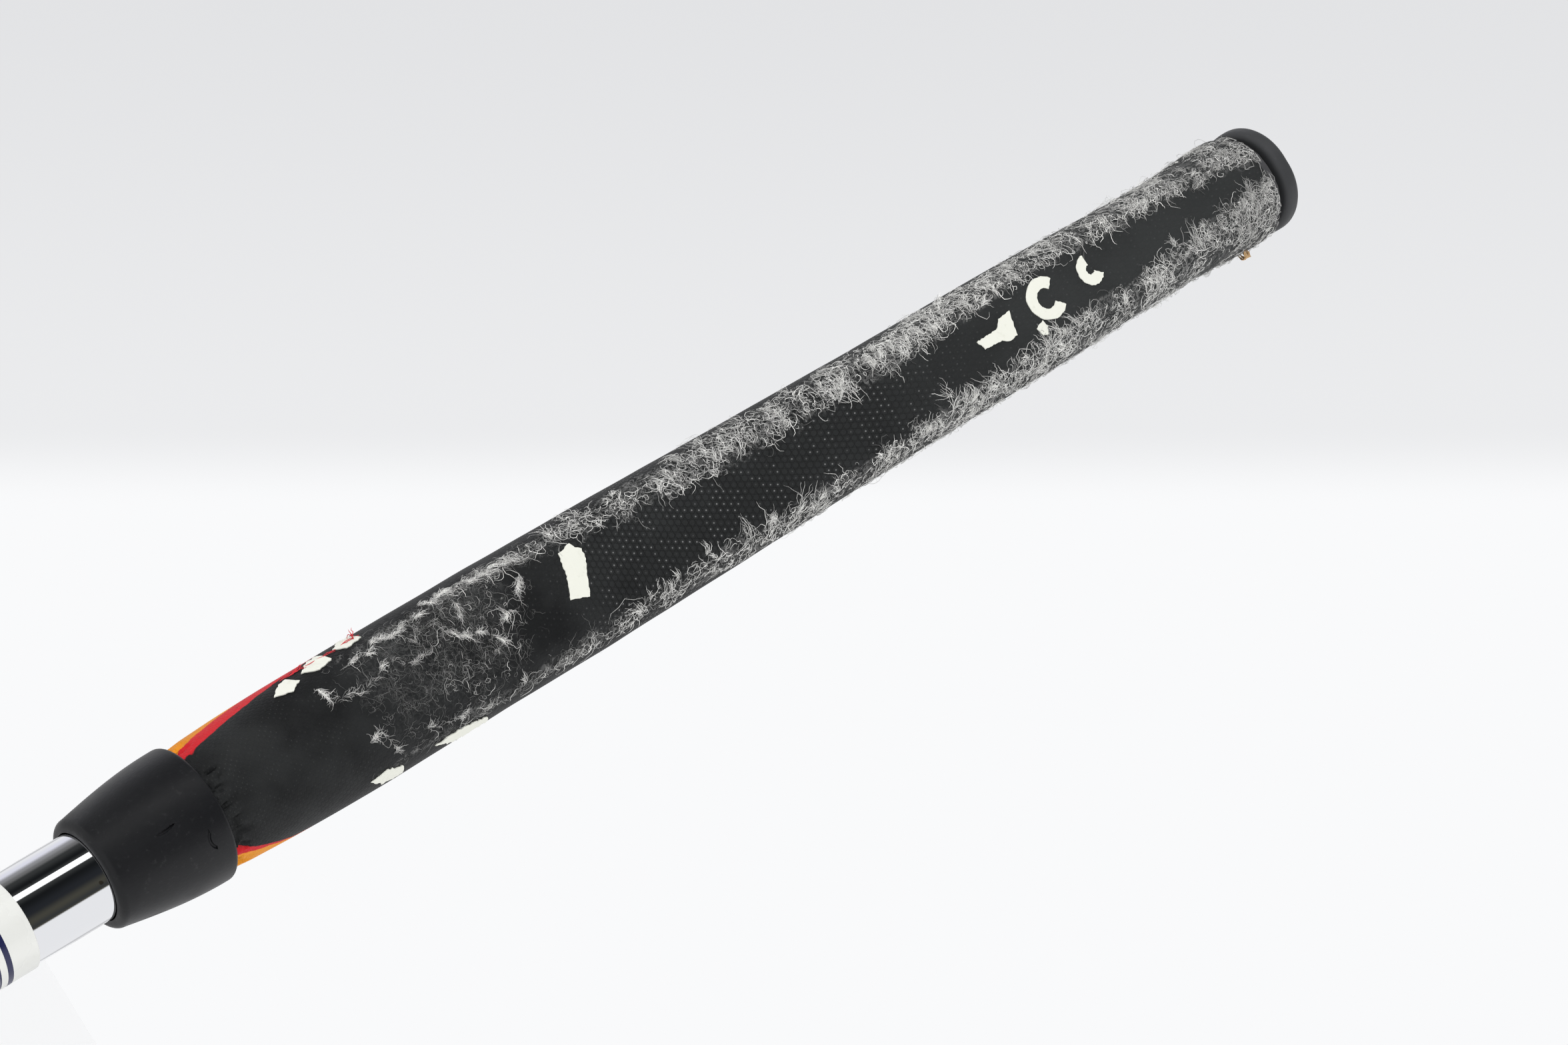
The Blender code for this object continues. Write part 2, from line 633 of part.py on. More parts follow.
def make_sight_line(head):
    paint = material("sight_line_paint", (0.9, 0.9, 0.88), 0.5)
    middle_y = (BACK_Y + BLADE_BACK_Y) / 2
    half_length, half_width = SIGHT_LINE_LENGTH / 2, SIGHT_LINE_WIDTH / 2
    top = FLANGE_THICKNESS - FIT_GAP / 2
    bottom = top - SIGHT_LINE_DEPTH
    box(
        "sight_line",
        (SWEET_SPOT_X - half_width, middle_y - half_length, bottom),
        (SWEET_SPOT_X + half_width, middle_y + half_length, top),
        paint,
    )
    groove = box(
        "sight_line_cutter",
        (SWEET_SPOT_X - half_width - FIT_GAP, middle_y - half_length - FIT_GAP, bottom - SEAT_GAP),
        (SWEET_SPOT_X + half_width + FIT_GAP, middle_y + half_length + FIT_GAP, BIG),
    )
    boolean(head, "DIFFERENCE", groove)


def main():
    clear_scene()
    axis = bpy.data.objects.new("shaft_axis", None)
    bpy.context.scene.collection.objects.link(axis)
    axis.location = (SHAFT_X, SHAFT_Y, 0.0)
    axis.rotation_euler = (0.0, LIE_ANGLE - math.pi / 2, 0.0)
    steel = make_head(axis)
    make_neck(axis, steel)
    make_shaft(axis)
    make_grip(axis)


main()
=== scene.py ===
"""The looks of a golf putter: worn wrapped grip, rubber collar and cap, chromed shaft, blade head.

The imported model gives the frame. Pieces on the shaft are modelled in the shaft's own frame, whose
origin is the middle of the collar's lower end, whose X is the way that the grip's flat faces and
whose Z runs up the shaft. Each is then placed in the world. Sizes are in metres.
"""

import json
import logging
import math
from collections.abc import Iterable, Iterator, Sequence
from contextlib import contextmanager
from dataclasses import dataclass, field
from enum import Enum

import bpy
import numpy as np
from mathutils import Matrix, Vector, noise

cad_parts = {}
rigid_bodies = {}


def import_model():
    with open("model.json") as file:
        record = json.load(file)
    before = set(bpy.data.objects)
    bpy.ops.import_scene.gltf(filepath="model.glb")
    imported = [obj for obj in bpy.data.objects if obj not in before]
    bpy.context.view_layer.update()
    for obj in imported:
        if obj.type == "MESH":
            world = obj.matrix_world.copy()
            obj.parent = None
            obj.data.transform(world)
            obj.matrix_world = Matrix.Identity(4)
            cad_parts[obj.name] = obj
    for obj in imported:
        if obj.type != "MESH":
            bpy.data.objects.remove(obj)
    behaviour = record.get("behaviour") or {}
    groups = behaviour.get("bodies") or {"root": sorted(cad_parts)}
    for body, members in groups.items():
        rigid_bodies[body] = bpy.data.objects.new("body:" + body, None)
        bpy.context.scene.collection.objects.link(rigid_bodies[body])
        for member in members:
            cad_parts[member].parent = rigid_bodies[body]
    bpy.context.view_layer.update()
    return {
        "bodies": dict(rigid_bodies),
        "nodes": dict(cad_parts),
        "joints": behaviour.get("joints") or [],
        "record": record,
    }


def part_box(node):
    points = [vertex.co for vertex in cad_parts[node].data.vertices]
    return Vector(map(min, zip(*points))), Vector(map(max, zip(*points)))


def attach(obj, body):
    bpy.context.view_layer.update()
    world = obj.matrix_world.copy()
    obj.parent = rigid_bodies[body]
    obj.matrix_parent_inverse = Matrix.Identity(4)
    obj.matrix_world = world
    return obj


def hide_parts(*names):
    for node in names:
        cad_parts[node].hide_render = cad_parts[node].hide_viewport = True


log = logging.getLogger("putter")

Colour = tuple[float, float, float]
Outline = list[tuple[float, float]]

MERGE_DISTANCE = 1e-7


# ---------------------------------------------------------------- the frame
class Mount(Enum):
    """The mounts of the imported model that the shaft's frame is read from."""

    HOLD = "grip_hold"
    FLAT = "thumb_flat"


@dataclass(frozen=True)
class ShaftFrame:
    """Where the shaft's own frame stands in the world."""

    origin: Vector
    facing: Vector
    across: Vector
    up: Vector

    @classmethod
    def of_model(cls, frame: dict) -> "ShaftFrame":
        """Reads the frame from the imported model.


        Returns:
            The shaft's frame, with its origin at the collar's lower end.
        """
        mounts = {m["name"]: m for m in frame["record"]["mounts"]}
        up = Vector(mounts[Mount.HOLD.value]["axis"]).normalized()
        facing = Vector(mounts[Mount.FLAT.value]["axis"]).normalized()
        on_axis = Vector(mounts[Mount.HOLD.value]["pos_m"])
        collar = frame["nodes"]["nose_collar"].data.vertices
        lowest = min((v.co - on_axis).dot(up) for v in collar)
        return cls(on_axis + up * lowest, facing, up.cross(facing), up)

    def matrix(self) -> Matrix:
        """Returns the matrix from the shaft's frame to the world."""
        turn = Matrix((self.facing, self.across, self.up)).transposed()
        return Matrix.Translation(self.origin) @ turn.to_4x4()

    def span(self, node: bpy.types.Object) -> tuple[float, float]:
        """Returns a CAD node's lowest and highest reach along the shaft."""
        along = [(v.co - self.origin).dot(self.up) for v in node.data.vertices]
        return min(along), max(along)

    def corners(self, node: bpy.types.Object) -> list[Vector]:
        """Returns a CAD node's corners in the shaft's frame."""
        inverse = self.matrix().inverted()
        return [inverse @ v.co for v in node.data.vertices]


# ---------------------------------------------------------------- modelling helpers
def deselect() -> None:
    """Leaves nothing selected, in object mode."""
    bpy.ops.object.select_all(action="DESELECT")


def activate(obj: bpy.types.Object) -> None:
    """Makes the object the only one selected, and the active one."""
    deselect()
    obj.select_set(True)
    bpy.context.view_layer.objects.active = obj


@contextmanager
def editing(obj: bpy.types.Object) -> Iterator[None]:
    """Opens an object in edit mode with all of its mesh selected, and closes it afterwards."""
    activate(obj)
    bpy.ops.object.mode_set(mode="EDIT")
    bpy.ops.mesh.select_all(action="SELECT")
    yield
    bpy.ops.object.mode_set(mode="OBJECT")


def face_outwards() -> None:
    """Turns all faces of the mesh in edit mode outwards."""
    bpy.ops.mesh.select_all(action="SELECT")
    bpy.ops.mesh.normals_make_consistent(inside=False)


def added(name: str) -> bpy.types.Object:
    """Names the object that an operator has just added, and returns it."""
    obj = bpy.context.active_object
    obj.name = name
    obj.data.name = name
    return obj


def raw_piece(name: str, points: np.ndarray | Sequence, faces: Sequence[Sequence[int]],
              edges: Sequence[tuple[int, int]] = ()) -> bpy.types.Object:
    """Makes an object straight from points and faces, for shapes that follow a formula.

    Args:
        name: The piece's name.
        points: Its corners.
        faces: The corners of each face, by number.
        edges: The two ends of each loose edge, by number.

    Returns:
        The object.
    """
    mesh = bpy.data.meshes.new(name)
    mesh.from_pydata(np.asarray(points).tolist(), edges, faces)
    mesh.update()
    obj = bpy.data.objects.new(name, mesh)
    bpy.context.scene.collection.objects.link(obj)
    return obj


def apply_modifier(obj: bpy.types.Object, kind: str, **settings: object) -> None:
    """Adds a modifier, sets it and applies it.

    Args:
        obj: The object.
        kind: The modifier's type.
        settings: Attributes of the modifier.
    """
    activate(obj)
    modifier = obj.modifiers.new(kind.lower(), kind)
    for key, value in settings.items():
        setattr(modifier, key, value)
    bpy.ops.object.modifier_apply(modifier=modifier.name)


def combine(obj: bpy.types.Object, operation: str, other: bpy.types.Object) -> None:
    """Applies a Boolean with another object, which is then removed."""
    apply_modifier(obj, "BOOLEAN", operation=operation, solver="EXACT", object=other)
    bpy.data.objects.remove(other, do_unlink=True)


def shade(obj: bpy.types.Object, angle: float = 35.0) -> None:
    """Shades the object smooth, with edges sharper than the angle kept, in degrees."""
    activate(obj)
    bpy.ops.object.shade_smooth_by_angle(angle=math.radians(angle))


def turned(name: str, profile: Outline, steps: int = 96) -> bpy.types.Object:
    """Spins a closed outline of (radius, height) points about Z.

    Args:
        name: The piece's name.
        profile: The outline, none of it on the axis.
        steps: How many faces go round.

    Returns:
        The turned piece, in the frame that it was drawn in.
    """
    count = len(profile)
    edges = [(k, (k + 1) % count) for k in range(count)]
    obj = raw_piece(name, [(r, 0.0, h) for r, h in profile], [], edges)
    with editing(obj):
        bpy.ops.mesh.spin(steps=steps, angle=math.tau, center=(0, 0, 0), axis=(0, 0, 1))
        bpy.ops.mesh.select_all(action="SELECT")
        bpy.ops.mesh.remove_doubles(threshold=MERGE_DISTANCE)
        face_outwards()
    shade(obj)
    return obj


def prism(name: str, outline: Sequence[tuple[float, float]], low: float, high: float,
          along: str = "Z") -> bpy.types.Object:
    """Extrudes an outline into a closed solid.

    Args:
        name: The solid's name.
        outline: Its corners, as (X, Y) for an extrusion along Z or (X, Z) for one along Y.
        low: Where the extrusion starts.
        high: Where it ends.
        along: The way that it goes, Z or Y.

    Returns:
        The solid.
    """
    deselect()
    bpy.ops.mesh.primitive_circle_add(vertices=len(outline), radius=0.01, fill_type="NGON")
    obj = added(name)
    for vertex, (a, b) in zip(obj.data.vertices, outline):
        vertex.co = (a, b, low) if along == "Z" else (a, low, b)
    way = (0, 0, high - low) if along == "Z" else (0, high - low, 0)
    with editing(obj):
        bpy.ops.mesh.extrude_region_move(TRANSFORM_OT_translate={"value": way})
        face_outwards()
    return obj


def block(name: str, low: Sequence[float], high: Sequence[float]) -> bpy.types.Object:
    """Makes a box between two corners, for a shape that is joined to others or cut from them."""
    outline = [(low[0], low[1]), (high[0], low[1]), (high[0], high[1]), (low[0], high[1])]
    return prism(name, outline, low[2], high[2])


def cylinder(name: str, radius: float, low: float, high: float,
             centre: tuple[float, float] = (0.0, 0.0), sides: int = 64) -> bpy.types.Object:
    """Makes an upright cylinder between two heights, to join to a shape or to cut from it.

    Args:
        name: The cylinder's name.
        radius: Its radius.
        low: Its lower end.
        high: Its upper end.
        centre: Where its axis is, in X and Y.
        sides: How many faces go round.

    Returns:
        The cylinder.
    """
    deselect()
    bpy.ops.mesh.primitive_cylinder_add(vertices=sides, radius=radius, depth=high - low,
                                        location=(*centre, (low + high) / 2))
    obj = added(name)
    activate(obj)
    bpy.ops.object.transform_apply(location=True, rotation=True, scale=True)
    return obj


def softened(obj: bpy.types.Object, voxel: float, passes: int) -> None:
    """Rounds every edge and fillets every inner corner, as a casting has them.

    Args:
        obj: The solid.
        voxel: The size of the mesh that it is rebuilt with.
        passes: How many times the mesh is smoothed.
    """
    size = voxel * 1.0
    apply_modifier(obj, "REMESH", mode="VOXEL", voxel_size=size)
    apply_modifier(obj, "SMOOTH", factor=0.5, iterations=passes)
    shade(obj, 60.0)


def arc(centre: tuple[float, float], radius: float, start: float, end: float, steps: int) -> Outline:
    """Returns points on an arc, with its angles in degrees."""
    turns = [math.radians(start + (end - start) * k / steps) for k in range(steps + 1)]
    return [(centre[0] + radius * math.cos(a), centre[1] + radius * math.sin(a)) for a in turns]


# ---------------------------------------------------------------- shader helpers
Socket = bpy.types.NodeSocket
Value = float | Socket


class Graph:
    """Adds and joins the nodes of one material or node group."""

    def __init__(self, tree: bpy.types.NodeTree) -> None:
        """Starts on a tree."""
        self.tree = tree

    def add(self, kind: str, inputs: dict | None = None, **settings: object) -> bpy.types.Node:
        """Adds a node.

        Args:
            kind: The node's type.
            inputs: A value or a socket for each input, by its name or number.
            settings: Attributes of the node.

        Returns:
            The node.
        """
        node = self.tree.nodes.new(kind)
        for key, value in settings.items():
            setattr(node, key, value)
        self.feed(node, inputs or {})
        return node

    def feed(self, node: bpy.types.Node, inputs: dict) -> None:
        """Sets a node's inputs, each to a value of its own or to another node's socket."""
        for key, value in inputs.items():
            if isinstance(value, bpy.types.NodeSocket):
                self.tree.links.new(value, node.inputs[key])
            else:
                node.inputs[key].default_value = value

    def math(self, operation: str, a: Value, b: Value = 0.0, clamp: bool = False) -> Socket:
        """Returns the result of a Math node."""
        inputs = {0: a, 1: b}
        return self.add("ShaderNodeMath", inputs, operation=operation, use_clamp=clamp).outputs[0]

    def vector(self, operation: str, a: Socket, b: Socket | tuple) -> bpy.types.Node:
        """Returns a Vector Math node."""
        return self.add("ShaderNodeVectorMath", {0: a, 1: b}, operation=operation)

    def mix(self, factor: Value, a: Colour | Socket, b: Colour | Socket) -> Socket:
        """Returns the mix of two colours."""
        inputs = {0: factor, 6: solid(a), 7: solid(b)}
        return self.add("ShaderNodeMix", inputs, data_type="RGBA").outputs[2]

    def range(self, value: Socket, low: float, high: float, to_low: float = 0.0,
              to_high: float = 1.0) -> Socket:
        """Returns a value carried from one range to another, smoothly and held at the ends."""
        inputs = {0: value, 1: low, 2: high, 3: to_low, 4: to_high}
        node = self.add("ShaderNodeMapRange", inputs, interpolation_type="SMOOTHSTEP")
        return node.outputs[0]

    def noise(self, vector: Socket, scale: Value, detail: float = 3.0, roughness: float = 0.55,
              distortion: float = 0.0) -> Socket:
        """Returns a Noise texture's value."""
        inputs = {"Vector": vector, "Scale": scale, "Detail": detail, "Roughness": roughness,
                  "Distortion": distortion}
        return self.add("ShaderNodeTexNoise", inputs).outputs[0]

    def shaft_place(self, frame: ShaftFrame) -> Socket:
        """Returns the place on the object in the shaft's frame."""
        here = self.add("ShaderNodeTexCoord").outputs["Object"]
        inputs = {"Vector": here, "Location": frame.origin,
                  "Rotation": frame.matrix().to_euler()}
        return self.add("ShaderNodeMapping", inputs, vector_type="TEXTURE").outputs[0]

    def place(self) -> Socket:
        """Returns the place on the object in the world's frame."""
        return self.add("ShaderNodeTexCoord").outputs["Object"]

    def attribute(self, name: str) -> Socket:
        """Returns a number stored on the mesh."""
        return self.add("ShaderNodeAttribute", attribute_name=name).outputs["Fac"]


def solid(colour: Colour | Socket) -> tuple | Socket:
    """Returns a colour with its alpha, or the socket as it is."""
    return colour if isinstance(colour, bpy.types.NodeSocket) else (*colour, 1.0)


class Effects:
    """The node groups that more than one material uses, each built once."""

    def __init__(self) -> None:
        """Builds the groups."""
        self._grain = self._build_grain()
        self._marks = self._build_marks()
        self._dust = self._build_dust()

    def grain(self, graph: Graph, place: Socket, scale: float) -> Socket:
        """Returns the height of a moulded or blasted grain."""
        inputs = {"Place": place, "Scale": scale}
        return graph.add("ShaderNodeGroup", inputs, node_tree=self._grain).outputs["Height"]

    def marks(self, graph: Graph, place: Socket, scale: float, clean: float,
              marked: float) -> bpy.types.bpy_prop_collection:
        """Lays finger marks on a surface.

        Args:
            graph: The material's graph.
            place: The place on the object.
            scale: How close together the marks are.
            clean: The roughness between the marks.
            marked: The roughness in a mark.

        Returns:
            The sockets Roughness and Mask.
        """
        inputs = {"Place": place, "Scale": scale, "Clean": clean, "Marked": marked}
        return graph.add("ShaderNodeGroup", inputs, node_tree=self._marks).outputs

    def dust(self, graph: Graph, place: Socket, scale: float, amount: float, under: Colour,
             dust: Colour) -> Socket:
        """Lets dust settle on a colour.

        Args:
            graph: The material's graph.
            place: The place on the object.
            scale: How close together the specks are.
            amount: How much they hide, from 0 to 1.
            under: The colour of the surface.
            dust: The colour of the dust.

        Returns:
            The colour, with dust on it.
        """
        inputs = {"Place": place, "Scale": scale, "Amount": amount, "Under": solid(under),
                  "Dust": solid(dust)}
        return graph.add("ShaderNodeGroup", inputs, node_tree=self._dust).outputs["Colour"]

    @staticmethod
    def _start(name: str, inputs: dict[str, str], outputs: dict[str, str]) -> tuple:
        """Makes an empty group: its graph, the sockets given to it and the node that ends it."""
        tree = bpy.data.node_groups.new(name, "ShaderNodeTree")
        for way, sockets in (("INPUT", inputs), ("OUTPUT", outputs)):
            for label, kind in sockets.items():
                tree.interface.new_socket(label, in_out=way, socket_type="NodeSocket" + kind)
        graph = Graph(tree)
        return graph, graph.add("NodeGroupInput").outputs, graph.add("NodeGroupOutput")

    def _build_grain(self) -> bpy.types.NodeTree:
        """Builds the grain: a fine pebble on a soft waviness, as a height."""
        graph, given, end = self._start(
            "moulded_grain", {"Place": "Vector", "Scale": "Float"}, {"Height": "Float"},
        )
        fine = graph.noise(given["Place"], given["Scale"], 4.0, 0.65)
        wide = graph.math("MULTIPLY", given["Scale"], 0.08)
        soft = graph.noise(given["Place"], wide, 2.0, 0.5)
        graph.feed(end, {"Height": graph.math("ADD", fine, graph.math("MULTIPLY", soft, 1.5))})
        return graph.tree

    def _build_marks(self) -> bpy.types.NodeTree:
        """Builds the finger marks: a roughness that wanders between two values, and its mask."""
        graph, given, end = self._start(
            "finger_marks",
            {"Place": "Vector", "Scale": "Float", "Clean": "Float", "Marked": "Float"},
            {"Roughness": "Float", "Mask": "Float"},
        )
        mask = graph.range(graph.noise(given["Place"], given["Scale"], 6.0, 0.5, 1.2), 0.48, 0.72)
        rough = graph.add("ShaderNodeMapRange", {0: mask, 3: given["Clean"], 4: given["Marked"]})
        graph.feed(end, {"Roughness": rough.outputs[0], "Mask": mask})
        return graph.tree

    def _build_dust(self) -> bpy.types.NodeTree:
        """Builds the dust: pale specks of settled dust and lint over a colour."""
        graph, given, end = self._start(
            "dust",
            {"Place": "Vector", "Scale": "Float", "Amount": "Float", "Under": "Color",
             "Dust": "Color"},
            {"Colour": "Color"},
        )
        specks = graph.range(graph.noise(given["Place"], given["Scale"], 8.0, 0.75), 0.55, 0.75)
        mask = graph.math("MULTIPLY", specks, given["Amount"], clamp=True)
        graph.feed(end, {"Colour": graph.mix(mask, given["Under"], given["Dust"])})
        return graph.tree


# ---------------------------------------------------------------- finishes
@dataclass(frozen=True)
class Finish:
    """What every finish has: a name, and a material that is built from its values."""

    name: str

    def start(self, colour: Colour, roughness: float, metallic: float = 0.0) -> tuple:
        """Makes the material with its Principled shader.

        Returns:
            The material, its graph and its shader.
        """
        made = bpy.data.materials.new(self.name)
        made.use_nodes = True
        made.diffuse_color = (*colour, 1.0)
        shader = made.node_tree.nodes["Principled BSDF"]
        shader.inputs["Base Color"].default_value = (*colour, 1.0)
        shader.inputs["Roughness"].default_value = roughness
        shader.inputs["Metallic"].default_value = metallic
        return made, Graph(made.node_tree), shader

    @staticmethod
    def bump(graph: Graph, shader: bpy.types.Node, height: Socket, depth: float) -> None:
        """Feeds a height in metres times the depth to the shader's normal."""
        node = graph.add("ShaderNodeBump", {"Height": height, "Distance": depth})
        graph.feed(shader, {"Normal": node.outputs[0]})


@dataclass(frozen=True)
class Plain(Finish):
    """A plain moulded or woven piece: mottled colour, grain and finger marks."""

    colour: Colour = (0.5, 0.5, 0.5)
    roughness: float = 0.5
    metallic: float = 0.0
    grain: float = 1500.0
    depth: float = 0.00002
    dust: Colour | None = None  # a darker shade of the colour, unless it is given
    dust_scale: float = 500.0
    dust_amount: float = 0.25
    marks_scale: float = 55.0
    marks_rise: float = 0.12  # of the roughness in a finger mark
    specular: float = 0.5

    def build(self, effects: Effects) -> bpy.types.Material:
        """Builds the material."""
        made, graph, shader = self.start(self.colour, self.roughness, self.metallic)
        place = graph.place()
        dust = self.dust or tuple(c * 0.7 for c in self.colour)
        dusty = effects.dust(graph, place, self.dust_scale, self.dust_amount, self.colour, dust)
        marks = effects.marks(graph, place, self.marks_scale, self.roughness,
                              self.roughness + self.marks_rise)
        graph.feed(shader, {"Base Color": dusty, "Roughness": marks["Roughness"],
                            "Specular IOR Level": self.specular})
        self.bump(graph, shader, effects.grain(graph, place, self.grain), self.depth)
        return made


@dataclass(frozen=True)
class Rubber(Plain):
    """Satin moulded rubber with a fine grain and a little dust."""

    colour: Colour = (0.0072, 0.0075, 0.0086)
    roughness: float = 0.40
    grain: float = 1800.0
    depth: float = 0.00003
    dust: Colour | None = (0.16, 0.16, 0.165)
    dust_scale: float = 900.0
    dust_amount: float = 0.10
    marks_scale: float = 60.0
    marks_rise: float = 0.14
    specular: float = 0.28


@dataclass(frozen=True)
class Cover(Finish):
    """The worn polyurethane wrap: embossed scales, felt, a two-colour panel round its back, and
    painted light toward the butt.
    """

    black: Colour = (0.0080, 0.0084, 0.0088)
    # Paler black: used for the blotches of wear, and for the painted light toward the butt.
    worn_and_lit: Colour = (0.0215, 0.0228, 0.0230)
    felt: Colour = (0.15, 0.15, 0.148)
    red: Colour = (0.46, 0.014, 0.020)
    orange: Colour = (0.68, 0.27, 0.014)
    dots: Colour = (0.17, 0.17, 0.17)
    rubbed_red: Colour = (0.22, 0.03, 0.03)
    rubbed_orange: Colour = (0.50, 0.16, 0.015)
    pitch: float = 0.00125  # of the scales
    depth: float = 0.00009
    wander: float = 0.0006  # of the panel's edges

    def build(self) -> bpy.types.Material:
        """Builds the material, whose scales follow the wrap's own UV map, in metres."""
        made, graph, shader = self.start(self.black, 0.62)
        place = graph.place()
        fuzz, emboss = graph.attribute("fuzz"), graph.attribute("emboss")
        leather = graph.noise(place, 1400.0, 5.0, 0.65)
        blotch = graph.noise(place, 70.0, 3.0, 0.6)
        scales, dots = self._scales(graph)
        strands = self._felt(graph, place)

        base = self._blacks(graph, place, blotch, graph.math("MULTIPLY", dots, emboss))
        base = self._panel(graph, place, blotch, base)
        matted = graph.math("MULTIPLY", graph.range(fuzz, 0.05, 0.75), strands)
        base = graph.mix(graph.math("MINIMUM", matted, 0.9), base, self.felt)
        rough = graph.range(graph.math("ADD", fuzz, leather), 0.2, 1.4, 0.50, 0.85)
        graph.feed(shader, {"Base Color": base, "Roughness": rough, "Specular IOR Level": 0.16})
        embossed = graph.math("MULTIPLY", scales, graph.math("MULTIPLY", emboss, 3.2))
        height = graph.math("ADD", graph.math("MULTIPLY", leather, 0.5),
                            graph.math("ADD", embossed, graph.math("MULTIPLY", strands, fuzz)))
        self.bump(graph, shader, height, self.depth)
        return made

    def _blacks(self, graph: Graph, place: Socket, blotch: Socket, dots: Socket) -> Socket:
        """Colours the black of the cover: paler toward the butt as painted light, and paler in
        blotches and on the dots.

        Args:
            graph: The material's graph.
            place: The place on the cover.
            blotch: Noise for the paler blotches.
            dots: The mask of the dots between the scales.

        Returns:
            The colour.
        """
        # Painted light: the black turns paler toward the butt, as if it were lit more there.
        base = graph.mix(graph.attribute("age"), self.black, self.worn_and_lit)
        blotches = graph.math("MULTIPLY", graph.range(blotch, 0.35, 0.7), 0.35)
        base = graph.mix(blotches, base, tuple(c * 1.6 for c in self.worn_and_lit))
        left = graph.range(graph.noise(place, 420.0, 2.0), 0.46, 0.60)
        shown = graph.math("MULTIPLY", graph.math("MULTIPLY", dots, left), 0.8)
        return graph.mix(shown, base, self.dots)

    def _panel(self, graph: Graph, place: Socket, blotch: Socket, base: Socket) -> Socket:
        """Prints the red and the orange panel over a colour.

        Args:
            graph: The material's graph.
            place: The place on the cover.
            blotch: Noise for the faded orange.
            base: The colour that the panel is printed on.

        Returns:
            The colour, with the panel on it.
        """
        shift = graph.math("SUBTRACT", graph.noise(place, 500.0), 0.5)
        shift = graph.math("MULTIPLY", shift, self.wander)
        chips = graph.range(graph.noise(place, 700.0, 6.0, 0.7), 0.60, 0.66)
        red = graph.mix(graph.math("MULTIPLY", chips, 0.5), self.red, self.rubbed_red)
        faded = graph.math("MULTIPLY", graph.range(blotch, 0.3, 0.75), 0.6)
        orange = graph.mix(faded, self.orange, self.rubbed_orange)
        for edge, soft, colour in (("red_edge", 0.00012, red), ("orange_edge", 0.00015, orange)):
            inside = graph.range(graph.math("ADD", graph.attribute(edge), shift), -soft, soft)
            base = graph.mix(inside, base, colour)
        return base

    def _scales(self, graph: Graph) -> tuple[Socket, Socket]:
        """Embossed scales on a staggered lattice.

        Returns:
            The height, from 0 at the scales' edges to 1, and the mask of the dots between them.
        """
        on_wrap = graph.add("ShaderNodeUVMap", uv_map="wrap").outputs[0]
        cell = (self.pitch, self.pitch * math.sqrt(3.0), 1.0)
        half = tuple(c / 2 for c in cell)
        apart = []
        for shift in ((10.0, 10.0, 0.0), (10.0 + half[0], 10.0 + half[1], 0.0)):
            moved = graph.vector("ADD", on_wrap, shift).outputs[0]
            wrapped = graph.vector("MODULO", moved, cell).outputs[0]
            centred = graph.vector("SUBTRACT", wrapped, (half[0], half[1], 0.0)).outputs[0]
            apart.append(graph.vector("LENGTH", centred, (0, 0, 0)).outputs["Value"])
        nearest = graph.math("MINIMUM", apart[0], apart[1])
        height = graph.range(nearest, self.pitch * 0.34, self.pitch * 0.56, 1.0, 0.0)
        dots = graph.range(nearest, self.pitch * 0.06, self.pitch * 0.15, 1.0, 0.0)
        return height, dots

    @staticmethod
    def _felt(graph: Graph, place: Socket) -> Socket:
        """Returns the mask of matted strands: thin ridges of warped noise at two sizes."""
        warp = graph.add("ShaderNodeTexNoise", {"Vector": place, "Scale": 260.0, "Detail": 3.0})
        bent = graph.vector("SCALE", warp.outputs["Color"], (0, 0, 0))
        bent.inputs["Scale"].default_value = 0.004
        moved = graph.vector("ADD", place, bent.outputs[0]).outputs[0]
        ridges = []
        for scale, width in ((520.0, 0.030), (1100.0, 0.040)):
            wave = graph.noise(moved, scale, 2.0, 0.5, 0.6)
            away = graph.math("ABSOLUTE", graph.math("SUBTRACT", wave, 0.5))
            ridges.append(graph.range(away, width * 0.3, width * 1.6, 1.0, 0.0))
        cloud = graph.range(graph.noise(place, 150.0, 3.0), 0.35, 0.70, 0.35, 1.0)
        return graph.math("MULTIPLY", graph.math("MAXIMUM", ridges[0], ridges[1]), cloud)


@dataclass(frozen=True)
class Felt(Finish):
    """Loose grey-white fibres pulled out of the cover's backing."""

    pale: Colour = (0.88, 0.875, 0.85)
    dull: Colour = (0.060, 0.060, 0.059)

    def build(self) -> bpy.types.Material:
        """Builds the material, which reads how pale each fibre is from its mesh."""
        made, graph, shader = self.start(self.pale, 0.9)
        graph.feed(shader, {
            "Base Color": graph.mix(graph.attribute("tint"), self.dull, self.pale),
            "Specular IOR Level": 0.2,
            "Sheen Weight": 0.25,
            "Sheen Roughness": 0.6,
        })
        return made


@dataclass(frozen=True)
class Paint(Finish):
    """Old printed paint: off-white, finely mottled, a little dirty."""

    colour: Colour = (0.66, 0.665, 0.60)
    dirt: Colour = (0.42, 0.42, 0.34)

    def build(self, effects: Effects) -> bpy.types.Material:
        """Builds the material."""
        made, graph, shader = self.start(self.colour, 0.55)
        place = graph.place()
        dirty = effects.dust(graph, place, 650.0, 0.5, self.colour, self.dirt)
        graph.feed(shader, {"Base Color": dirty})
        self.bump(graph, shader, effects.grain(graph, place, 1500.0), 0.00004)
        return made


@dataclass(frozen=True)
class Chrome(Finish):
    """Bright chrome plate with finger marks and a few specks."""

    colour: Colour = (0.86, 0.87, 0.89)
    specks: Colour = (0.45, 0.40, 0.36)

    def build(self, effects: Effects) -> bpy.types.Material:
        """Builds the material."""
        made, graph, shader = self.start(self.colour, 0.03, 1.0)
        place = graph.place()
        marks = effects.marks(graph, place, 45.0, 0.025, 0.10)
        specks = graph.range(graph.noise(place, 330.0, 2.0), 0.71, 0.75)
        base = graph.mix(specks, self.colour, self.specks)
        graph.feed(shader, {"Base Color": base, "Roughness": marks["Roughness"]})
        return made


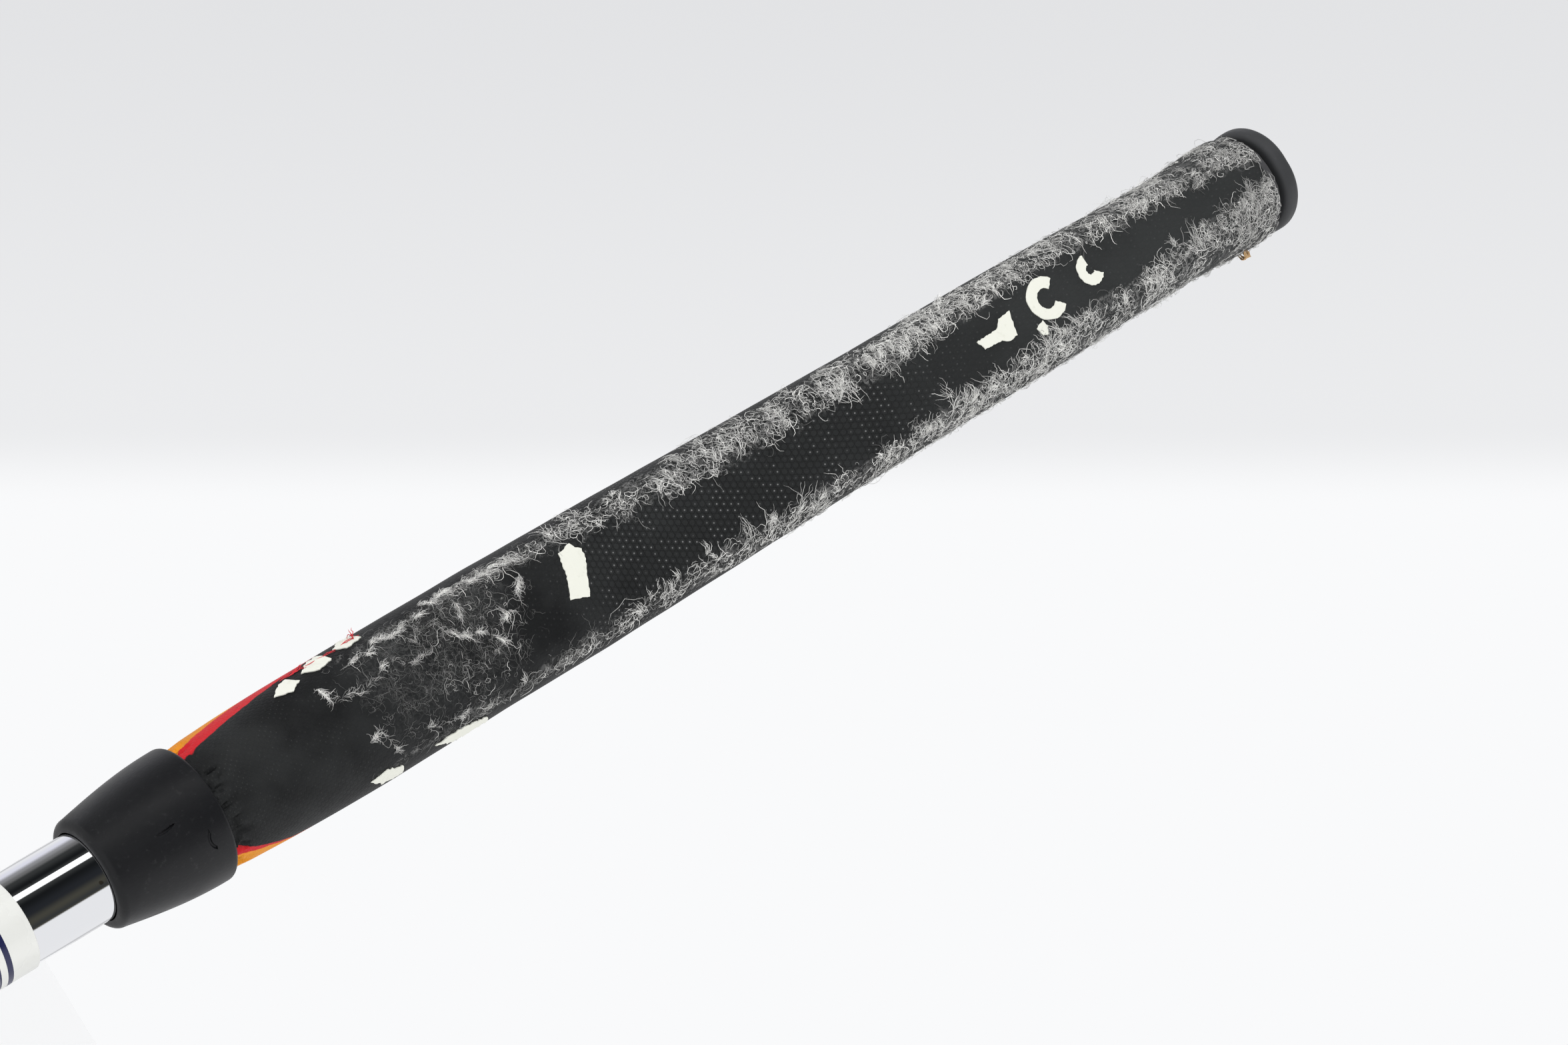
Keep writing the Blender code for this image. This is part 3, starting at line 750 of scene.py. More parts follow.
@dataclass(frozen=True)
class Steel(Finish):
    """Satin steel, bead-blasted or milled, with bright rubbed patches."""

    colour: Colour = (0.50, 0.50, 0.51)
    roughness: float = 0.34
    grain: float = 2600.0
    depth: float = 0.00002
    milled_above: float | None = None  # the Y that the milled face starts at, if there is one
    milled_pitch: float = 0.0009
    milled_centre: tuple[float, float, float] = (0.004, 0.0, -0.110)

    def _milling(self, graph: Graph, place: Socket) -> Socket:
        """Returns the height of the cutter's arcs across the face, which looks along +Y."""
        away = graph.vector("DISTANCE", place, self.milled_centre).outputs["Value"]
        waves = graph.math("SINE", graph.math("MULTIPLY", away, math.tau / self.milled_pitch))
        parts = graph.add("ShaderNodeSeparateXYZ", {0: place}).outputs
        face = graph.range(parts["Y"], self.milled_above, self.milled_above + 0.0002)
        return graph.math("MULTIPLY", graph.math("MULTIPLY", waves, face), 0.55)

    def build(self, effects: Effects) -> bpy.types.Material:
        """Builds the material."""
        made, graph, shader = self.start(self.colour, self.roughness, 1.0)
        place = graph.place()
        marks = effects.marks(graph, place, 38.0, self.roughness, self.roughness * 0.68)
        base = graph.mix(marks["Mask"], self.colour, tuple(c * 1.12 for c in self.colour))
        height = effects.grain(graph, place, self.grain)
        if self.milled_above is not None:
            height = graph.math("ADD", height, self._milling(graph, place))
        graph.feed(shader, {"Base Color": base, "Roughness": marks["Roughness"]})
        self.bump(graph, shader, height, self.depth)
        return made


@dataclass(frozen=True)
class BandPrint(Finish):
    """White printed film with dark rings across the shaft."""

    white: Colour = (0.62, 0.625, 0.60)
    navy: Colour = (0.012, 0.014, 0.055)
    dirt: Colour = (0.48, 0.47, 0.41)
    # How far each ring is below the band's top, and its width
    rings: tuple[tuple[float, float], ...] = (
        (0.0052, 0.0009), (0.0070, 0.0003), (0.0079, 0.0003), (0.0610, 0.0003), (0.0628, 0.0009),
    )

    def build(self, effects: Effects, frame: ShaftFrame, top: float) -> bpy.types.Material:
        """Builds the material.

        Args:
            effects: The shared node groups.
            frame: The shaft's frame.
            top: The band's upper edge along the shaft.

        Returns:
            The material, with a dark ring at each depth below the band's top.
        """
        made, graph, shader = self.start(self.white, 0.3)
        place = graph.shaft_place(frame)
        height = graph.add("ShaderNodeSeparateXYZ", {0: place}).outputs["Z"]
        down = graph.math("SUBTRACT", top, height)
        mask = None
        for depth, width in self.rings:
            away = graph.math("ABSOLUTE", graph.math("SUBTRACT", down, depth))
            ring = graph.range(away, width / 2, width / 2 + 0.00006, 1.0, 0.0)
            mask = ring if mask is None else graph.math("MAXIMUM", mask, ring)
        dirty = effects.dust(graph, place, 420.0, 0.25, self.white, self.dirt)
        marks = effects.marks(graph, place, 60.0, 0.26, 0.4)
        graph.feed(shader, {"Base Color": graph.mix(mask, dirty, self.navy),
                            "Roughness": marks["Roughness"]})
        return made


# ---------------------------------------------------------------- common piece work
@dataclass
class Workshop:
    """What every sub-assembly needs to make its pieces."""

    frame: dict
    shaft: ShaftFrame
    effects: Effects

    def finish(self, obj: bpy.types.Object, finish: bpy.types.Material, slot: str,
               node: str | None = None, on_shaft: bool = True) -> bpy.types.Object:
        """Dresses a piece, places it in the world and hands it to the frame.

        Args:
            obj: The piece, in the shaft's frame or the world's.
            finish: Its material.
            slot: The record's material slot; not used.
            node: The CAD node that it stands for, if it stands for one.
            on_shaft: Whether the piece is in the shaft's frame.

        Returns:
            The piece.
        """
        if on_shaft:
            obj.data.transform(self.shaft.matrix())
        obj.data.materials.clear()
        obj.data.materials.append(finish)
        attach(obj, "root")
        if node:
            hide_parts(node)
        log.info("%s: %d faces", obj.name, len(obj.data.polygons))
        return obj


# ---------------------------------------------------------------- the grip's surface
def smooth_stations(stations: np.ndarray, shares: np.ndarray) -> np.ndarray:
    """Reads a table of sizes on a smooth curve through its rows.

    Args:
        stations: Rows that start with their share of the run.
        shares: Where to read it.

    Returns:
        The sizes at each share.
    """
    at = stations[:, 0]
    slopes = np.gradient(stations[:, 1:], at, axis=0)
    k = np.clip(np.searchsorted(at, shares, side="right") - 1, 0, len(at) - 2)
    span = (at[k + 1] - at[k])[:, None]
    t = ((shares - at[k]) / span[:, 0])[:, None]
    low, high = stations[k, 1:], stations[k + 1, 1:]
    return (
        low * (1 + 2 * t) * (1 - t) ** 2 + slopes[k] * span * t * (1 - t) ** 2
        + high * t * t * (3 - 2 * t) + slopes[k + 1] * span * t * t * (t - 1)
    )


@dataclass
class GripSurface:
    """The grip's outer skin as a table of points, by height and by share of the way round.

    The way round starts at the middle of the back and goes by the +Y side to the flat's middle,
    at a share of a half.
    """

    low: float
    high: float
    rows: int = 320
    columns: int = 288
    arc_points: int = 120  # on each quarter of a section, before it is spaced evenly
    flat_points: int = 40
    # Share of the run, half width, depth of the back, depth of the front, half the flat's width
    profile: tuple = (
        (0.000, 0.00995, 0.00995, 0.00992, 0.0004),
        (0.050, 0.01074, 0.01032, 0.01020, 0.0010),
        (0.268, 0.01142, 0.01190, 0.01020, 0.0050),
        (0.470, 0.01102, 0.01260, 0.01020, 0.0056),
        (0.620, 0.01056, 0.01200, 0.01020, 0.0056),
        (0.760, 0.01062, 0.01260, 0.01020, 0.0056),
        (0.940, 0.01015, 0.01560, 0.01020, 0.0044),
        (0.982, 0.01072, 0.01660, 0.01052, 0.0016),
        (1.000, 0.01060, 0.01660, 0.01052, 0.0008),
    )
    points: np.ndarray = field(init=False)
    normals: np.ndarray = field(init=False)
    girth: np.ndarray = field(init=False)

    def __post_init__(self) -> None:
        """Fills the table."""
        shares = np.linspace(0.0, 1.0, self.rows + 1)
        sizes = smooth_stations(np.array(self.profile), shares)
        rings, girths = zip(*(self._ring(*row) for row in sizes))
        heights = self.low + (self.high - self.low) * shares
        xy = np.array(rings)
        z = np.broadcast_to(heights[:, None, None], (*xy.shape[:2], 1))
        self.points = np.concatenate([xy, z], axis=2)
        self.girth = np.array(girths)
        around = np.roll(self.points, -1, axis=1) - np.roll(self.points, 1, axis=1)
        along = np.gradient(self.points, axis=0)
        outward = np.cross(along, around)
        outward /= np.linalg.norm(outward, axis=2, keepdims=True)
        flip = np.sign((outward[..., :2] * xy).sum(axis=2).mean())
        self.normals = outward * flip

    def _ring(self, half: float, back: float, front: float, flat: float) -> tuple:
        """Draws one section: a round back, two shoulders and a flat.

        Args:
            half: Half its width.
            back: How deep its back is.
            front: How deep its front is.
            flat: Half the width of the flat in front.

        Returns:
            The points, evenly spaced from the middle of the back, and the girth.
        """
        a = np.linspace(0, math.pi / 2, self.arc_points)
        rounded = np.stack([-back * np.cos(a), half * np.sin(a)], axis=1)
        shoulder = np.stack([front * np.sin(a), flat + (half - flat) * np.cos(a)], axis=1)
        side = np.concatenate([rounded, shoulder[1:]])
        middle = np.linspace(flat, -flat, self.flat_points)[1:-1]
        flat_run = np.stack([np.full_like(middle, front), middle], axis=1)
        ring = np.concatenate([side, flat_run, side[::-1] * (1, -1)])
        steps = np.linalg.norm(np.diff(ring, axis=0), axis=1)
        run = np.concatenate([[0], np.cumsum(steps)])
        even = np.linspace(0, run[-1], self.columns + 1)[:-1]
        points = np.stack([np.interp(even, run, ring[:, k]) for k in (0, 1)], axis=1)
        return points, run[-1]

    def at(self, height: np.ndarray, share: np.ndarray) -> tuple[np.ndarray, np.ndarray]:
        """Reads the skin between its rows and columns.

        Args:
            height: Heights along the shaft.
            share: Shares of the way round, of the same shape.

        Returns:
            The points and the unit normals.
        """
        r = np.clip((height - self.low) / (self.high - self.low), 0, 1) * self.rows
        c = (share % 1.0) * self.columns
        r0 = np.minimum(r.astype(int), self.rows - 1)
        c0 = c.astype(int) % self.columns
        c1 = (c0 + 1) % self.columns
        fr, fc = (r - r0)[..., None], (c - np.floor(c))[..., None]

        def read(table: np.ndarray) -> np.ndarray:
            """Returns a table's values at the places, between its rows and columns."""
            low = table[r0, c0] * (1 - fc) + table[r0, c1] * fc
            high = table[r0 + 1, c0] * (1 - fc) + table[r0 + 1, c1] * fc
            return low * (1 - fr) + high * fr

        normals = read(self.normals)
        normals /= np.linalg.norm(normals, axis=-1, keepdims=True)
        return read(self.points), normals

    def girth_at(self, height: np.ndarray) -> np.ndarray:
        """Returns the girth at heights."""
        rows = np.linspace(self.low, self.high, self.rows + 1)
        return np.interp(height, rows, self.girth)

    def share_of_side(self, height: np.ndarray, side: np.ndarray) -> np.ndarray:
        """Finds places on the front half by how far across they are.

        Args:
            height: The places' heights along the shaft.
            side: Their Y.

        Returns:
            Their shares of the way round, on the front half.
        """
        height, side = np.atleast_1d(height), np.atleast_1d(side)
        r = np.clip((height - self.low) / (self.high - self.low), 0, 1) * self.rows
        front = slice(self.columns // 4, 3 * self.columns // 4 + 1)
        shares = np.arange(self.columns)[front] / self.columns
        found = [
            np.interp(-y, -self.points[row, front, 1], shares)
            for row, y in zip(np.rint(r).astype(int), side)
        ]
        return np.array(found)


def fractal(points: np.ndarray, scale: float, octaves: int = 3, seed: float = 0.0) -> np.ndarray:
    """Returns smooth noise at points, from about -1 to 1."""
    offset = Vector((seed, seed * 1.7, seed * 0.3))
    return np.array([
        noise.fractal(Vector(p) * scale + offset, 0.6, 2.0, octaves) for p in points.tolist()
    ])


def ease(value: np.ndarray, low: np.ndarray | float, high: np.ndarray | float) -> np.ndarray:
    """Returns a smooth step from 0 at low to 1 at high."""
    t = np.clip((value - low) / (high - low), 0, 1)
    return t * t * (3 - 2 * t)


@dataclass
class Wear:
    """Where the cover's skin has gone and its felt shows, in the shaft's frame."""

    # Height, inner edge of the fuzz by the -Y shoulder, inner edge by the +Y shoulder
    inner: tuple = (
        (0.042, -0.0086, 0.0095), (0.060, -0.0080, 0.0090), (0.084, -0.0072, 0.0085),
        (0.095, -0.0064, 0.0078), (0.112, -0.0044, 0.0074), (0.140, -0.0032, 0.0072),
        (0.168, -0.0035, 0.0064), (0.198, -0.0051, 0.0053), (0.228, -0.0048, 0.0038),
        (0.240, -0.0044, 0.0026), (0.251, -0.0034, 0.0012), (0.265, -0.0018, 0.0002),
    )
    # Height, outer edge by the -Y shoulder, outer edge by the +Y shoulder
    outer: tuple = (
        (0.040, -0.0094, 0.0100), (0.080, -0.0096, 0.0104), (0.110, -0.0100, 0.0107),
        (0.150, -0.0100, 0.0112), (0.200, -0.0103, 0.0119), (0.245, -0.0104, 0.0124),
        (0.265, -0.0112, 0.0126),
    )
    start: float = 0.043  # the lowest fuzz on the shoulders
    ragged: float = 0.0012  # how far noise moves the edges

    def density(self, height: np.ndarray, side: np.ndarray, rough: np.ndarray) -> np.ndarray:
        """Works out how thick the fuzz is on the front half.

        Args:
            height: Places along the shaft.
            side: Places across it, as Y.
            rough: Noise that breaks up the edges, from about -1 to 1.

        Returns:
            The density, from 0 to 1.
        """
        inner, outer = np.array(self.inner), np.array(self.outer)
        ragged = rough * self.ragged
        left = np.interp(height, inner[:, 0], inner[:, 1])
        right = np.interp(height, inner[:, 0], inner[:, 2])
        past = np.maximum(left - side, side - right) + ragged
        shoulder = ease(past, -0.0004, 0.0016)
        shoulder *= ease(height + ragged * 3, self.start, self.start + 0.014)
        web = self._web(height, side, ragged)
        rim_left = np.interp(height, outer[:, 0], outer[:, 1])
        rim_right = np.interp(height, outer[:, 0], outer[:, 2])
        inside = np.minimum(side - rim_left, rim_right - side) + ragged * 0.4
        return np.maximum(shoulder, web * 0.30) * ease(inside, -0.0003, 0.0008)

    def _web(self, height: np.ndarray, side: np.ndarray, ragged: np.ndarray) -> np.ndarray:
        """Returns the thinner fuzz that crosses the front above the collar."""
        upper = 0.084 - (side + 0.007) * 0.45 + ragged * 4
        lower = 0.046 + np.abs(side + 0.002) * 0.35 + ragged * 3
        along = ease(height, lower, lower + 0.006) * ease(upper - height, -0.001, 0.004)
        across = ease(0.009 - side, -0.002, 0.008) * 0.45 + 0.4
        return along * across


# ---------------------------------------------------------------- the grip
@dataclass
class Grip:
    """The wrapped grip: cover, paint chips, collar and cap."""

    shop: Workshop
    surface: GripSurface
    wear: Wear
    collar_length: float
    wall: float = 0.0010
    seam: float = 0.0003
    end_gap: float = 0.0017  # from the cover's upper end to the cap's seat
    across: int = 190  # faces round the cover
    along: int = 258
    wrap_width: float = 0.075  # that the cover's UV map spans
    nose_wall: float = 0.0018
    nose_round: float = 0.0013
    lip_wall: float = 0.0010
    lip_round: float = 0.0007
    lip_depth: float = 0.0070
    collar_floor: float = 0.0125
    collar_steps: int = 28
    slit_length: float = 0.0030
    slit_radius: float = 0.00028
    cap_lift: float = 0.0010  # of the flange from the grip's end
    cap_inset: float = 0.0002
    cap_round: float = 0.0013
    cap_groove: tuple[float, float, float] = (0.0058, 0.0064, 0.0005)  # inner, outer, depth
    vent_radius: float = 0.0011
    # Height, turn from the flat's middle, lean in degrees, and bend of each slit in the collar
    slits: tuple = ((0.0104, 1.0, 4.0, 0.0050), (0.0160, 27.0, -84.0, 0.0021))
    # Height, then how far round from the flat's middle the red and the orange start, +Y side
    panel_right: tuple = (
        (0.0, 0.0080, 0.0098), (0.020, 0.0090, 0.0107), (0.026, 0.0125, 0.0132),
        (0.032, 0.0160, 0.0163), (0.095, 0.0360, 0.0362),
    )
    # The same for the -Y side
    panel_left: tuple = (
        (0.0, 0.0062, 0.0085), (0.020, 0.0086, 0.0112), (0.035, 0.0124, 0.0160),
        (0.045, 0.0152, 0.0200), (0.055, 0.0180, 0.0230), (0.095, 0.0360, 0.0380),
    )

    def build(self) -> None:
        """Makes and dresses every piece of the grip."""
        rubber = Rubber("collar_rubber").build(self.shop.effects)
        self.build_cover()
        self.build_collar(rubber)
        self.build_cap(Rubber("cap_rubber", (0.034, 0.035, 0.037), 0.5).build(self.shop.effects))
        self.build_chips()

    def build_cover(self) -> None:
        """The wrap: a grid rolled into the grip's shape, open along the seam at its back."""
        deselect()
        bpy.ops.mesh.primitive_grid_add(x_subdivisions=self.across, y_subdivisions=self.along,
                                        size=1.0)
        obj = added("cover")
        mesh = obj.data
        flat = np.empty(len(mesh.vertices) * 3)
        mesh.vertices.foreach_get("co", flat)
        flat = flat.reshape(-1, 3)
        around, run = flat[:, 0] + 0.5, flat[:, 1] + 0.5
        run = run * (0.40 + 0.60 * run)  # finer near the collar, for the creases
        top = self.surface.high - self.end_gap
        height = self.surface.low + (top - self.surface.low) * run
        girth = self.surface.girth_at(height)
        share = (around * (girth - self.seam) + self.seam / 2) / girth
        points, normals = self.surface.at(height, share)
        points = points + normals * self._relief(points, height)[:, None]
        mesh.vertices.foreach_set("co", points.ravel())
        self._store(mesh, points, height, share, girth)
        uv = mesh.uv_layers.active
        uv.name = "wrap"
        corners = np.empty(len(mesh.loops) * 2)
        uv.data.foreach_get("uv", corners)
        corners = corners.reshape(-1, 2) * (self.wrap_width, self.surface.high - self.surface.low)
        uv.data.foreach_set("uv", corners.ravel())
        with editing(obj):
            face_outwards()
        if sum(f.normal.x * f.center.x + f.normal.y * f.center.y for f in mesh.polygons) < 0:
            mesh.flip_normals()
        apply_modifier(obj, "SOLIDIFY", thickness=self.wall, offset=-1.0)
        shade(obj, 50.0)
        self.shop.finish(obj, Cover("grip_cover").build(), "grip_cover", "grip_wrap")

    def _relief(self, points: np.ndarray, height: np.ndarray) -> np.ndarray:
        """Creases the cover at the collar and rolls it in at the cap.

        Args:
            points: Points on the skin.
            height: Their heights.

        Returns:
            How far the cover stands proud of the skin at each.
        """
        near = ease(self.collar_length + 0.0046 - height, 0.0, 0.0030)
        gathers = fractal(points * (1.0, 1.0, 0.35), 620.0, 3, 4.0)
        creases = -near * (0.00012 + 0.00060 * ease(gathers, 0.02, 0.30))
        end = self.surface.high - self.end_gap - height
        roll = -0.0008 * (1 - ease(end, 0.0, 0.0018)) ** 2
        wave = fractal(points, 60.0, 2, 3.0) * 0.00010
        return creases + roll + wave

    def _store(self, mesh: bpy.types.Mesh, points: np.ndarray, height: np.ndarray,
               share: np.ndarray, girth: np.ndarray) -> None:
        """Stores what the cover's material reads: fuzz, emboss, painted light toward the butt and
        the panel's edges.

        Args:
            mesh: The cover's mesh.
            points: Its points.
            height: Their heights.
            share: Their shares of the way round.
            girth: The grip's girth at each.
        """
        rough = fractal(points, 420.0, 3, 1.0)
        front = points[:, 0] > 0
        fuzz = self.wear.density(height, points[:, 1], rough)
        side = ease(points[:, 0], -0.004, 0.002)
        fuzz = np.where(front, fuzz, fuzz * side)
        emboss = ease(height, 0.086, 0.100) * ease(0.185 - height, 0.0, 0.030) + 0.12
        # Painted light: this rises toward the butt, where the cover's black is painted paler as if
        # lit more.
        age = ease(height, 0.085, 0.115) * 0.55 + ease(height, 0.150, 0.240) * 0.45
        from_flat = np.abs(share - 0.5) * girth
        right, left = np.array(self.panel_right), np.array(self.panel_left)
        edges = {}
        for name, column in (("red_edge", 1), ("orange_edge", 2)):
            start_right = np.interp(height, right[:, 0], right[:, column])
            start_left = np.interp(height, left[:, 0], left[:, column])
            edges[name] = from_flat - np.where(share < 0.5, start_right, start_left)
        for name, values in {"fuzz": fuzz, "emboss": emboss, "age": age, **edges}.items():
            layer = mesh.attributes.new(name, "FLOAT", "POINT")
            layer.data.foreach_set("value", values.astype(np.float32))

    def build_collar(self, rubber: bpy.types.Material) -> None:
        """The collar: a turned barrel with a rounded nose and a soft lip, and two small cuts."""
        corners = self.shop.shaft.corners(self.shop.frame["nodes"]["nose_collar"])
        radii = [math.hypot(p.x, p.y) for p in corners]
        bore, lip_radius, length = min(radii), max(radii), self.collar_length
        nose_radius, inner = bore + self.nose_wall, lip_radius - self.lip_wall
        low, high = self.nose_round, length - self.lip_round
        profile = [(bore, 0.0), *arc((nose_radius - low, low), low, -90, 0, 8)]
        for k in range(1, self.collar_steps + 1):
            t = k / self.collar_steps
            bulge = math.sin(t * math.pi / 2)
            profile.append((nose_radius + (lip_radius - nose_radius) * bulge,
                            low + (high - low) * t))
        profile += arc((lip_radius - self.lip_round, high), self.lip_round, 0, 90, 6)[1:]
        profile += [(inner, length - 0.0001), (inner - 0.0006, length - self.lip_depth),
                    (bore, self.collar_floor)]
        obj = turned("collar", profile, 128)
        for height, turn, tilt, bend in self.slits:
            self._cut_slit(obj, lip_radius, height, turn, tilt, bend)
        shade(obj, 40.0)
        self.shop.finish(obj, rubber, "moulded_rubber", "nose_collar")

    def _cut_slit(self, collar: bpy.types.Object, radius: float, height: float, turn: float,
                  tilt: float, bend: float) -> None:
        """Cuts a short curved slit in the collar's skin.

        Args:
            collar: The collar, in the shaft's frame.
            radius: The collar's widest radius.
            height: The slit's height.
            turn: How far round from the flat's middle it is, in degrees.
            tilt: How it leans from the shaft's way, in degrees.
            bend: The radius that it is curved to.
        """
        cut = math.sqrt(bend**2 - (0.5 * self.slit_length) ** 2)
        deselect()
        bpy.ops.mesh.primitive_torus_add(
            major_radius=bend, minor_radius=self.slit_radius, major_segments=96, minor_segments=10,
        )
        cutter = added("slit_cutter")
        with editing(cutter):
            bpy.ops.mesh.bisect(plane_co=(0, cut, 0), plane_no=(0, 1, 0), use_fill=True,
                                clear_inner=True)
        stand = Matrix.Translation((0, -(bend + cut) / 2, 0))
        lean = Matrix.Rotation(math.radians(tilt), 4, "Z")
        upright = Matrix.Rotation(math.pi / 2, 4, "Y")
        share = math.sin(min(1.0, height / self.collar_length) * math.pi / 2)
        out = Matrix.Translation((radius - 0.0024 * (1 - share) - 0.00005, 0, height))
        spin = Matrix.Rotation(math.radians(turn), 4, "Z")
        cutter.data.transform(spin @ out @ upright @ lean @ stand)
        combine(collar, "DIFFERENCE", cutter)

    def build_cap(self, rubber: bpy.types.Material) -> None:
        """The end cap's flange, in the section of the grip's end, with a vent and a ring on top."""
        top = self.shop.shaft.span(self.shop.frame["nodes"]["end_cap"])[1]
        section = self.surface.points[-1, ::2, :2]
        section = section * (1 - self.cap_inset / np.linalg.norm(section, axis=1, keepdims=True))
        obj = prism("cap", section.tolist(), self.surface.high + self.cap_lift, top)
        apply_modifier(obj, "BEVEL", width=self.cap_round, segments=6, limit_method="ANGLE",
                       angle_limit=math.radians(50), harden_normals=False)
        inner, outer, depth = self.cap_groove
        groove = [(inner, top - depth), (outer, top - depth), (outer, top + 0.001),
                  (inner, top + 0.001)]
        combine(obj, "DIFFERENCE", turned("cap_groove", groove, 64))
        vent = cylinder("cap_vent", self.vent_radius, top - 0.015, top + 0.015, sides=24)
        combine(obj, "DIFFERENCE", vent)
        shade(obj, 40.0)
        self.shop.finish(obj, rubber, "moulded_rubber", "end_cap")

    def build_chips(self) -> None:
        """Worn remains of white paint on the front and along the panel's edge."""
        paint = Paint("worn_paint").build(self.shop.effects)
        chips = Chips(self.surface)
        pieces = [chips.make(name, outline, first_seed + k)
                  for first_seed, group in ((0, FRONT_CHIPS), (20, EDGE_CHIPS))
                  for k, (name, outline) in enumerate(group)]
        activate(pieces[0])
        for piece in pieces:
            piece.select_set(True)
        bpy.ops.object.join()
        self.shop.finish(added("paint_chips"), paint, "grip_cover")


def ring_fragment(height: float, side: float, radius: float, width: float, start: float,
                  end: float, squash: float = 1.0) -> Outline:
    """Returns the outline of a worn piece of a plain ring.

    Args:
        height: The ring's middle along the shaft.
        side: Its middle across, as Y.
        radius: Its outer radius.
        width: Its stroke.
        start: Where the piece starts, in degrees.
        end: Where it ends.
        squash: Its size along the shaft over its size across.

    Returns:
        The outline, as height along the shaft and place across it.
    """
    outer = arc((0, 0), radius, start, end, 28)
    inner = arc((0, 0), radius - width, end, start, 20)
    return [(height + x * squash, side + y) for x, y in outer + inner]


# Outlines as (height along the shaft, place across it)
FRONT_CHIPS: list[tuple[str, Outline]] = [
    ("bar", [(0.0919, -0.0056), (0.0946, -0.0061), (0.0951, -0.0051), (0.0960, -0.0044),
             (0.0959, -0.0030), (0.0928, 0.0029), (0.0895, 0.0018), (0.0911, -0.0018)]),
    ("rod", [(0.1844, -0.0003), (0.1896, -0.0005), (0.1909, -0.0019), (0.1938, -0.0021),
             (0.1926, 0.0022), (0.1908, 0.0026), (0.1892, 0.0017), (0.1852, 0.0015)]),
    ("ring_piece", ring_fragment(0.2022, -0.0007, 0.0040, 0.0021, 42, 318, 1.05)),
    ("splinter", [(0.1969, 0.0030), (0.1990, 0.0023), (0.1993, 0.0036), (0.1985, 0.0050),
                  (0.1975, 0.0046)]),
    ("crescent", ring_fragment(0.2138, -0.0011, 0.0029, 0.0020, 35, 272, 0.95)),
]

EDGE_CHIPS: list[tuple[str, Outline]] = [
    ("edge_low", [(0.0380, -0.0087), (0.0398, -0.0098), (0.0422, -0.0103), (0.0432, -0.0090),
                  (0.0410, -0.0080)]),
    ("edge_middle", [(0.0446, -0.0098), (0.0472, -0.0109), (0.0496, -0.0110), (0.0500, -0.0094),
                     (0.0470, -0.0088)]),
    ("edge_high", [(0.0518, -0.0106), (0.0540, -0.0112), (0.0562, -0.0112), (0.0566, -0.0100),
                   (0.0532, -0.0096)]),
    ("edge_far", [(0.0452, 0.0100), (0.0478, 0.0110), (0.0522, 0.0112), (0.0518, 0.0104),
                  (0.0482, 0.0096)]),
    ("edge_end", [(0.0580, 0.0103), (0.0620, 0.0112), (0.0694, 0.0112), (0.0688, 0.0106),
                  (0.0625, 0.0101)]),
]


@dataclass
class Chips:
    """Makes thin ragged chips of paint that lie on the grip."""

    surface: GripSurface
    lift: float = 0.00006
    thickness: float = 0.00016
    ragged: float = 0.00022  # how far the edge's points are moved, in all
    spacing: float = 0.0004  # of those points

    def make(self, name: str, outline: Outline, seed: int) -> bpy.types.Object:
        """Makes one chip.

        Args:
            name: Its name.
            outline: Its corners, as height along the shaft and place across it.
            seed: Which raggedness it gets.

        Returns:
            The chip, in the shaft's frame.
        """
        edge = self._ragged_edge(np.array(outline), seed)
        share = self.surface.share_of_side(edge[:, 0], edge[:, 1])
        points, normals = self.surface.at(edge[:, 0], share)
        points = points + normals * (self.lift + self.thickness)
        obj = raw_piece(name, points, [list(range(len(points)))])
        with editing(obj):
            bpy.ops.mesh.quads_convert_to_tris(ngon_method="BEAUTY")
        if obj.data.polygons[0].normal.dot(Vector(normals.mean(axis=0))) < 0:
            obj.data.flip_normals()
        apply_modifier(obj, "SOLIDIFY", thickness=self.thickness, offset=-1.0)
        return obj

    def _ragged_edge(self, corners: np.ndarray, seed: int) -> np.ndarray:
        """Returns the outline with a point every fraction of a millimetre, moved at random."""
        rng = np.random.default_rng(seed)
        points = []
        for a, b in zip(corners, np.roll(corners, -1, axis=0)):
            count = max(1, int(np.linalg.norm(b - a) / self.spacing))
            points += [a + (b - a) * k / count for k in range(count)]
        points = np.array(points)
        along = np.roll(points, -1, axis=0) - np.roll(points, 1, axis=0)
        out = np.stack([along[:, 1], -along[:, 0]], axis=1)
        out /= np.linalg.norm(out, axis=1, keepdims=True)
        return points + out * (rng.random(len(points))[:, None] - 0.5) * self.ragged


# ---------------------------------------------------------------- the fuzz
# The lines of the matted veins above the collar, as (height along the shaft, place across it)
VEINS: tuple[Outline, ...] = (
    [(0.066, -0.0064), (0.0685, -0.0030), (0.071, -0.0012), (0.0735, -0.0003), (0.076, 0.0017)],
    [(0.0565, -0.0046), (0.0595, -0.0030), (0.063, -0.0027), (0.062, -0.0048), (0.065, -0.0079)],
    [(0.0485, -0.0073), (0.055, -0.0079), (0.059, -0.0084), (0.067, -0.0080)],
    [(0.084, -0.0066), (0.0815, -0.0020), (0.077, -0.0005)],
    [(0.0735, 0.0036), (0.0738, -0.0001)],
    [(0.0565, 0.0077), (0.062, 0.0085), (0.068, 0.0098), (0.072, 0.0100)],
    [(0.0465, 0.0049), (0.049, 0.0047), (0.051, 0.0085)],
    [(0.044, -0.0070), (0.0445, -0.0043), (0.0505, -0.0025), (0.057, -0.0043)],
    [(0.0725, -0.0092), (0.071, -0.0049)],
    [(0.067, -0.0096), (0.0735, -0.0094), (0.081, -0.0090), (0.0845, -0.0088)],
)


@dataclass(frozen=True)
class Snag:
    """A few coarse strands of one colour that stick out of a torn edge."""

    name: str
    colour: Colour
    count: int
    heights: tuple[float, float]
    side: float
    heading: float
    length: float
    lift: float
    radius: float


